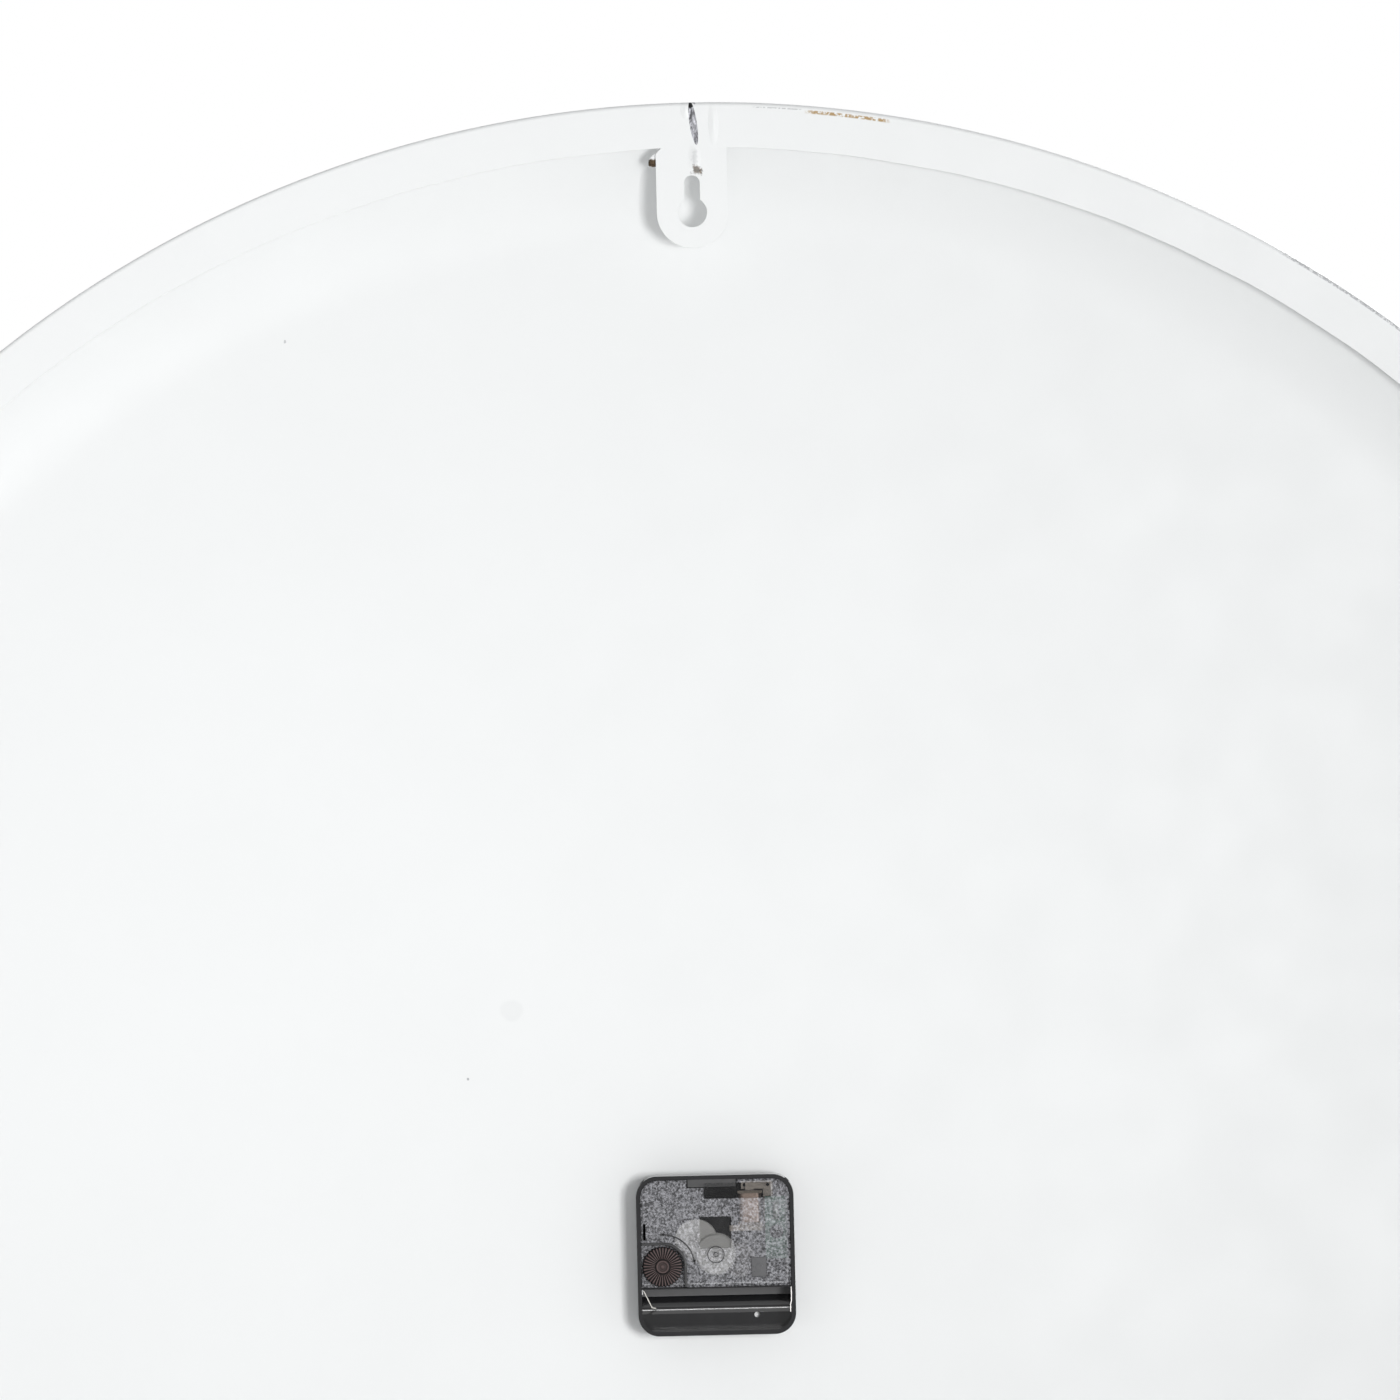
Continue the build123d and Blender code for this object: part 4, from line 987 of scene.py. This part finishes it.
class CLOCK_OT_tray_edge(bpy.types.Operator):
    """Lay a near-black strip round the knob's tray, a painted shadow of the tray's wall"""

    bl_idname = "wall_clock.tray_edge"
    bl_label = "Tray edge"

    def execute(self, context):
        size = settings().movement
        low, high = bench("rear_cover")
        rear, floor = low.z + 0.3 * MM, high.z - 0.6 * MM
        inner, outer = size.tray_radius - size.tray_edge, size.tray_radius
        margin = 0.1 * MM
        # The strip lies on the tray floor along its wall as painted shadow
        painted_edge_shade = hoop("tray_edge", (inner + outer) / 2, size.tray_edge, floor, rear, steps=144)
        cut_away(painted_edge_shade, lambda f: f.center.x > 0 or f.center.y < 0)
        right = high.x - knob_centre.x - margin
        bottom = low.y - knob_centre.y + margin
        upper = bar("upper", (0, inner, rear), (right, outer, floor))
        cut_away(upper, lambda f: f.center.x < MERGE)
        lower = bar("lower", (-outer, bottom, rear), (-inner, 0, floor))
        cut_away(lower, lambda f: f.center.y > -MERGE)
        painted_edge_shade = join([painted_edge_shade, upper, lower], "tray_edge")
        move_to_knob(painted_edge_shade)
        tidy_mesh(painted_edge_shade)
        round_edges(painted_edge_shade, 0.1 * MM)
        mount(painted_edge_shade, "smoky_plastic", black_moulding("tray_painted_shadow", 0.4))
        return {"FINISHED"}


class CLOCK_OT_knob(bpy.types.Operator):
    """Turn the setting knob and raise its ribs"""

    bl_idname = "wall_clock.knob"
    bl_label = "Setting knob"

    def execute(self, context):
        size = settings().movement
        low, high = bench("setting_knob")
        radius = (high.x - low.x) / 2 - size.rib_height
        face = low.z + size.groove
        hub = size.knob_hub
        boss, well, brim = [low.z + depth * MM for depth in (0.25, 0.55, 0.1)]
        ribs_from, chamfer = hub + 0.5 * MM, 0.2 * MM
        rib_steps, rib_share = 5, 0.4
        profile = [
            (0.5 * MM, boss), (0.9 * MM, well), (hub - 0.7 * MM, well), (hub - 0.5 * MM, brim),
            (hub - 0.1 * MM, brim), (hub + 0.1 * MM, face), (ribs_from, face), (radius - chamfer, face),
            (radius, face + chamfer), (radius, high.z), (hub, high.z),
        ]
        knob = turned("knob_ribbed", profile, rib_steps * size.knob_ribs)
        fill_ends(knob)

        def on_rib(face_of_knob):
            middle = face_of_knob.center
            step = math.atan2(middle.y, middle.x) / math.tau * size.knob_ribs % 1
            return step < rib_share and middle.xy.length > ribs_from and middle.z < high.z - MERGE

        pick(knob, "FACE", on_rib)
        bpy.ops.mesh.extrude_region_shrink_fatten(TRANSFORM_OT_shrink_fatten={"value": size.rib_height})
        leave_edit()
        rise = size.rib_height - size.groove
        pick(knob, "FACE", lambda f: on_rib(f) and f.normal.z < -0.9)
        bpy.ops.mesh.extrude_region_move(TRANSFORM_OT_translate={"value": (0, 0, rise)})
        leave_edit()
        move_to_knob(knob)
        tidy_mesh(knob)
        round_edges(knob, 0.06 * MM)
        # The knob's finish paints shade into its grooves and light onto its rib tops
        material = grooved_brown("knob_brown_painted_shade", -low.z - size.groove, -low.z)
        mount(knob, "brown_plastic", material, body="setting", nodes=["setting_knob"], sharp=40)
        return {"FINISHED"}


class CLOCK_OT_hands(bpy.types.Operator):
    """Cut the hour and minute hands from sheet"""

    bl_idname = "wall_clock.hands"
    bl_label = "Hands"

    def execute(self, context):
        size = settings().front
        lacquer = moulding("hand_lacquer", shade("ink"), 0.35)
        bush_lap = 0.5 * MM
        for name in ("hour", "minute"):
            reach, tail, width, tip, turn = [
                getattr(size, name + part) for part in ("_length", "_tail", "_width", "_tip", "_angle")
            ]
            node = name + "_hand"
            low, high = bench(node)
            blade = bar(name + "_blade", (-width / 2, -tail, low.z), (width / 2, reach, high.z))
            pick(blade, "VERT", lambda v: v.co.y > 0)
            bpy.ops.transform.resize(value=(tip / width, 1, 1), center_override=(0, 0, 0))
            leave_edit()
            combine(blade, rod("boss", size.hub, low.z, high.z, steps=96), "UNION")
            bush_low, bush_high = bench(node + "_bush")
            bore = (bush_high.x - bush_low.x) / 2 - bush_lap
            combine(blade, rod("bore", bore, low.z - MM, high.z + MM), "DIFFERENCE")
            tidy_mesh(blade, dissolve=True)
            round_edges(blade, size.hand_rounding)
            tidy_mesh(blade)
            blade.rotation_euler.z = -turn
            apply_place(blade)
            mount(blade, "hand_black", lacquer, body=name, nodes=[node])
        return {"FINISHED"}


class CLOCK_OT_dial_print(bpy.types.Operator):
    """Print plain numbers and a minute track on the dial"""

    bl_idname = "wall_clock.dial_print"
    bl_label = "Dial print"

    def execute(self, context):
        size = settings().front
        minute_width, hour_width = 1.2 * MM, 4.0 * MM
        pieces = []
        for hour in range(1, 13):
            turn = math.tau * hour / 12
            at = (size.numeral_radius * math.sin(turn), size.numeral_radius * math.cos(turn), dial_front)
            bpy.ops.object.text_add(location=at)
            text = bpy.context.active_object.data
            text.body = str(hour)
            text.size = size.numeral_height
            text.align_x = "CENTER"
            text.align_y = "CENTER"
            text.extrude = size.ink
            bpy.ops.object.convert(target="MESH")
            pieces.append(named("numeral"))
        for wide, tall, count in ((minute_width, size.minute_mark, 60), (hour_width, size.hour_mark, 12)):
            at = (0, size.track_radius)
            mark = field("mark", at, wide, tall, dial_front - size.ink, dial_front + size.ink)
            edit(mark)
            bpy.ops.mesh.spin(
                steps=count - 1, dupli=True, angle=math.tau * (count - 1) / count,
                center=(0, 0, 0), axis=(0, 0, 1),
            )
            leave_edit()
            pieces.append(mark)
        marks = join(pieces, "dial_print")
        mount(marks, "hand_black", moulding("dial_ink", shade("ink"), 0.6), sharp=None)
        return {"FINISHED"}


class CLOCK_OT_nut(bpy.types.Operator):
    """Cut the chamfered nut that clamps the movement"""

    bl_idname = "wall_clock.nut"
    bl_label = "Mounting nut"

    def execute(self, context):
        low, high = bench("mounting_nut")
        corner, flat = high.x, high.y
        chamfer, past, bore = 0.45 * MM, 0.2 * MM, 4.05 * MM
        nut = rod("hex_nut", corner, low.z, high.z, steps=6)
        first = nut.data.vertices[0].co
        nut.rotation_euler.z = -math.atan2(first.y, first.x)
        apply_place(nut)
        end = flat - past * (corner - flat) / chamfer
        belly = corner + 0.05 * MM
        profile = [
            (end, low.z - past), (belly, low.z + chamfer), (belly, high.z - chamfer), (end, high.z + past),
        ]
        envelope = turned("envelope", profile, steps=96)
        fill_ends(envelope)
        tidy_mesh(envelope)
        combine(nut, envelope, "INTERSECT")
        combine(nut, rod("bore", bore, low.z - MM, high.z + MM), "DIFFERENCE")
        tidy_mesh(nut, dissolve=True)
        round_edges(nut, 0.1 * MM)
        mount(nut, "brass", metal("nut_brass", (0.78, 0.57, 0.27), 0.25), nodes=["mounting_nut"])
        return {"FINISHED"}


class CLOCK_OT_inner_finishes(bpy.types.Operator):
    """Paint the wheels, motor, board and contacts"""

    bl_idname = "wall_clock.inner_finishes"
    bl_label = "Inner finishes"

    def execute(self, context):
        paint(
            moulding("wheel_white", (0.90, 0.89, 0.86), 0.4), "seconds_wheel", "third_wheel",
            "centre_wheel", "motion_wheel", "hour_wheel",
        )
        paint(moulding("bobbin_tan", (0.34, 0.28, 0.22), 0.45), "coil_bobbin")
        paint(moulding("wheel_grey", (0.16, 0.15, 0.14), 0.45), "fifth_wheel", "rotor_pinion")
        paint(moulding("arbor_brown", shade("brown"), 0.45), "setting_arbor")
        paint(black_moulding("plate_black", 0.5), "middle_plate", "driver_chip")
        paint(moulding("cushion_rubber", (0.02, 0.02, 0.02), 0.7), "cushion_ring")
        paint(
            metal("turned_brass", (0.78, 0.57, 0.27), 0.3), "centre_bushing", "dial_washer", "minute_arbor",
            "hour_hand_bush", "minute_hand_bush", "hand_nut",
        )
        paint(metal("spring_steel", (0.66, 0.66, 0.67), 0.25), "negative_lead")
        paint(metal("crystal_can", (0.34, 0.38, 0.35), 0.55), "quartz_crystal")
        paint(metal("leaf_steel", (0.34, 0.33, 0.31), 0.3), "negative_contact")
        paint(metal("tinned_strip", (0.50, 0.48, 0.47), 0.3, grain=1.2), "positive_contact")
        paint(metal("soft_iron", (0.40, 0.36, 0.32), 0.5), "stator", "coil_core")
        paint(metal("magnet_grey", (0.12, 0.12, 0.13), 0.6), "rotor_magnet")
        paint(wound_copper("wound_copper"), "coil_winding")
        paint(green_laminate("green_laminate"), "circuit_board")
        return {"FINISHED"}


class CLOCK_OT_stage(bpy.types.Operator):
    """Set the floor, the light and the camera"""

    bl_idname = "wall_clock.stage"
    bl_label = "Stage"

    def execute(self, context):
        scene = context.scene
        scene.view_settings.view_transform = "Standard"
        self.floor()
        self.world(scene)
        self.lamps()
        self.camera(scene)
        return {"FINISHED"}

    def floor(self):
        side, glow_from, glow_to = 40, 1.4, 3.5
        bpy.ops.mesh.primitive_plane_add(size=side, location=(0, 0, cad_low.z - MM))
        floor = named("studio_floor")
        pale = Finish("floor_pale_with_glow", roughness=0.7, specular_ior_level=0.2)
        pale.tint(pale.noise(400, 3.0), (0.84, 0.84, 0.84), (0.88, 0.88, 0.88))
        away = pale.add("VectorMath", {0: pale.place}, output=1, operation="LENGTH")
        # From some way out the floor glows, more the farther out: painted light that fades it into the white
        # background
        pale.shader.inputs["Emission Color"].default_value = (1, 1, 1, 1)
        pale.set("Emission Strength", pale.ranged(away, glow_from, glow_to, 0.0, 0.65))
        floor.data.materials.append(pale.material)

    def world(self, scene):
        world = bpy.data.worlds.new("studio")
        scene.world = world
        world.use_nodes = True
        nodes = Nodes(world.node_tree)
        nodes.tree.nodes.remove(nodes.tree.nodes["Background"])
        fill = nodes.add("Background", {"Color": (0.97, 0.985, 1.0, 1), "Strength": 0.35})
        white = nodes.add("Background", {"Color": (1, 1, 1, 1)})
        seen = 0.0
        for kind in ("Camera", "Glossy", "Transmission"):
            seen = nodes.math("MAXIMUM", seen, nodes.add("LightPath", {}, f"Is {kind} Ray"))
        mix = nodes.add("MixShader", {0: seen, 1: fill, 2: white})
        nodes.tree.links.new(mix, nodes.tree.nodes["World Output"].inputs["Surface"])

    def lamp(self, name, aim, direction, distance, size, energy):
        data = bpy.data.lights.new(name, "AREA")
        data.shape = "RECTANGLE"
        data.size, data.size_y = size
        data.energy = energy
        lamp = added(name, data)
        lamp.location = Vector(aim) + Vector(direction).normalized() * distance
        lamp.rotation_euler = Vector(direction).to_track_quat("Z", "Y").to_euler()
        lamp.visible_camera = False
        return lamp

    def lamps(self):
        axis = Vector((0, 0, axis_height))
        towards_key = Vector((-1.075, 2.5, 0))
        towards_strip = (0, 1, math.tan(math.radians(5)))
        key_aim = axis + Vector((0.36, 0, 0.06))
        key = self.lamp("key", key_aim, towards_key, towards_key.length, size=(0.45, 0.5), energy=3.85)
        key.data.spread = math.radians(55)
        self.lamp("strip", axis, towards_strip, 4.0, size=(0.6, 0.1), energy=4)
        self.lamp("front", axis, (-0.5, -1.0, 0.6), 6.0, size=(1.6, 1.6), energy=185)

    def camera(self, scene):
        mm_per_pixel = 0.3525
        image = 1400
        distance = 4.0
        roll = math.radians(1.3)
        data = bpy.data.cameras.new("photo_camera")
        data.sensor_width = 36.0
        data.lens = data.sensor_width * distance / (image * mm_per_pixel * MM)
        data.clip_end = 100
        camera = added("photo_camera", data)
        aim = seen_from_behind(-1.2, 195.7)
        camera.location = aim + Vector((0, distance, 0))
        camera.rotation_euler = (math.pi / 2, roll, math.pi)
        scene.camera = camera


class CLOCK_PT_panel(bpy.types.Panel):
    """Lists the clock's operators and settings"""

    bl_idname = "CLOCK_PT_panel"
    bl_label = "Wall Clock"
    bl_space_type = "VIEW_3D"
    bl_region_type = "UI"
    bl_category = "Wall Clock"

    def draw(self, context):
        for operator in OPERATORS:
            self.layout.operator(operator.bl_idname)
        for group in ("pan", "front", "movement", "colours"):
            owner = getattr(settings(), group)
            column = self.layout.column(align=True)
            for key in owner.__annotations__:
                column.prop(owner, key)


OPERATORS = (
    CLOCK_OT_pan,
    CLOCK_OT_ring,
    CLOCK_OT_hanger,
    CLOCK_OT_movement,
    CLOCK_OT_cover_marks,
    CLOCK_OT_tray_edge,
    CLOCK_OT_knob,
    CLOCK_OT_nut,
    CLOCK_OT_hands,
    CLOCK_OT_dial_print,
    CLOCK_OT_inner_finishes,
    CLOCK_OT_stage,
)
CLASSES = (ClockPan, ClockFront, ClockMovement, ClockColours, ClockSettings, *OPERATORS, CLOCK_PT_panel)


def register():
    for each in CLASSES:
        bpy.utils.register_class(each)
    bpy.types.Scene.wall_clock = PointerProperty(type=ClockSettings)


def unregister():
    del bpy.types.Scene.wall_clock
    for each in reversed(CLASSES):
        bpy.utils.unregister_class(each)


def main():
    register()
    for operator in OPERATORS:
        group, name = operator.bl_idname.split(".")
        getattr(getattr(bpy.ops, group), name)()


if __name__ == "__main__":
    main()
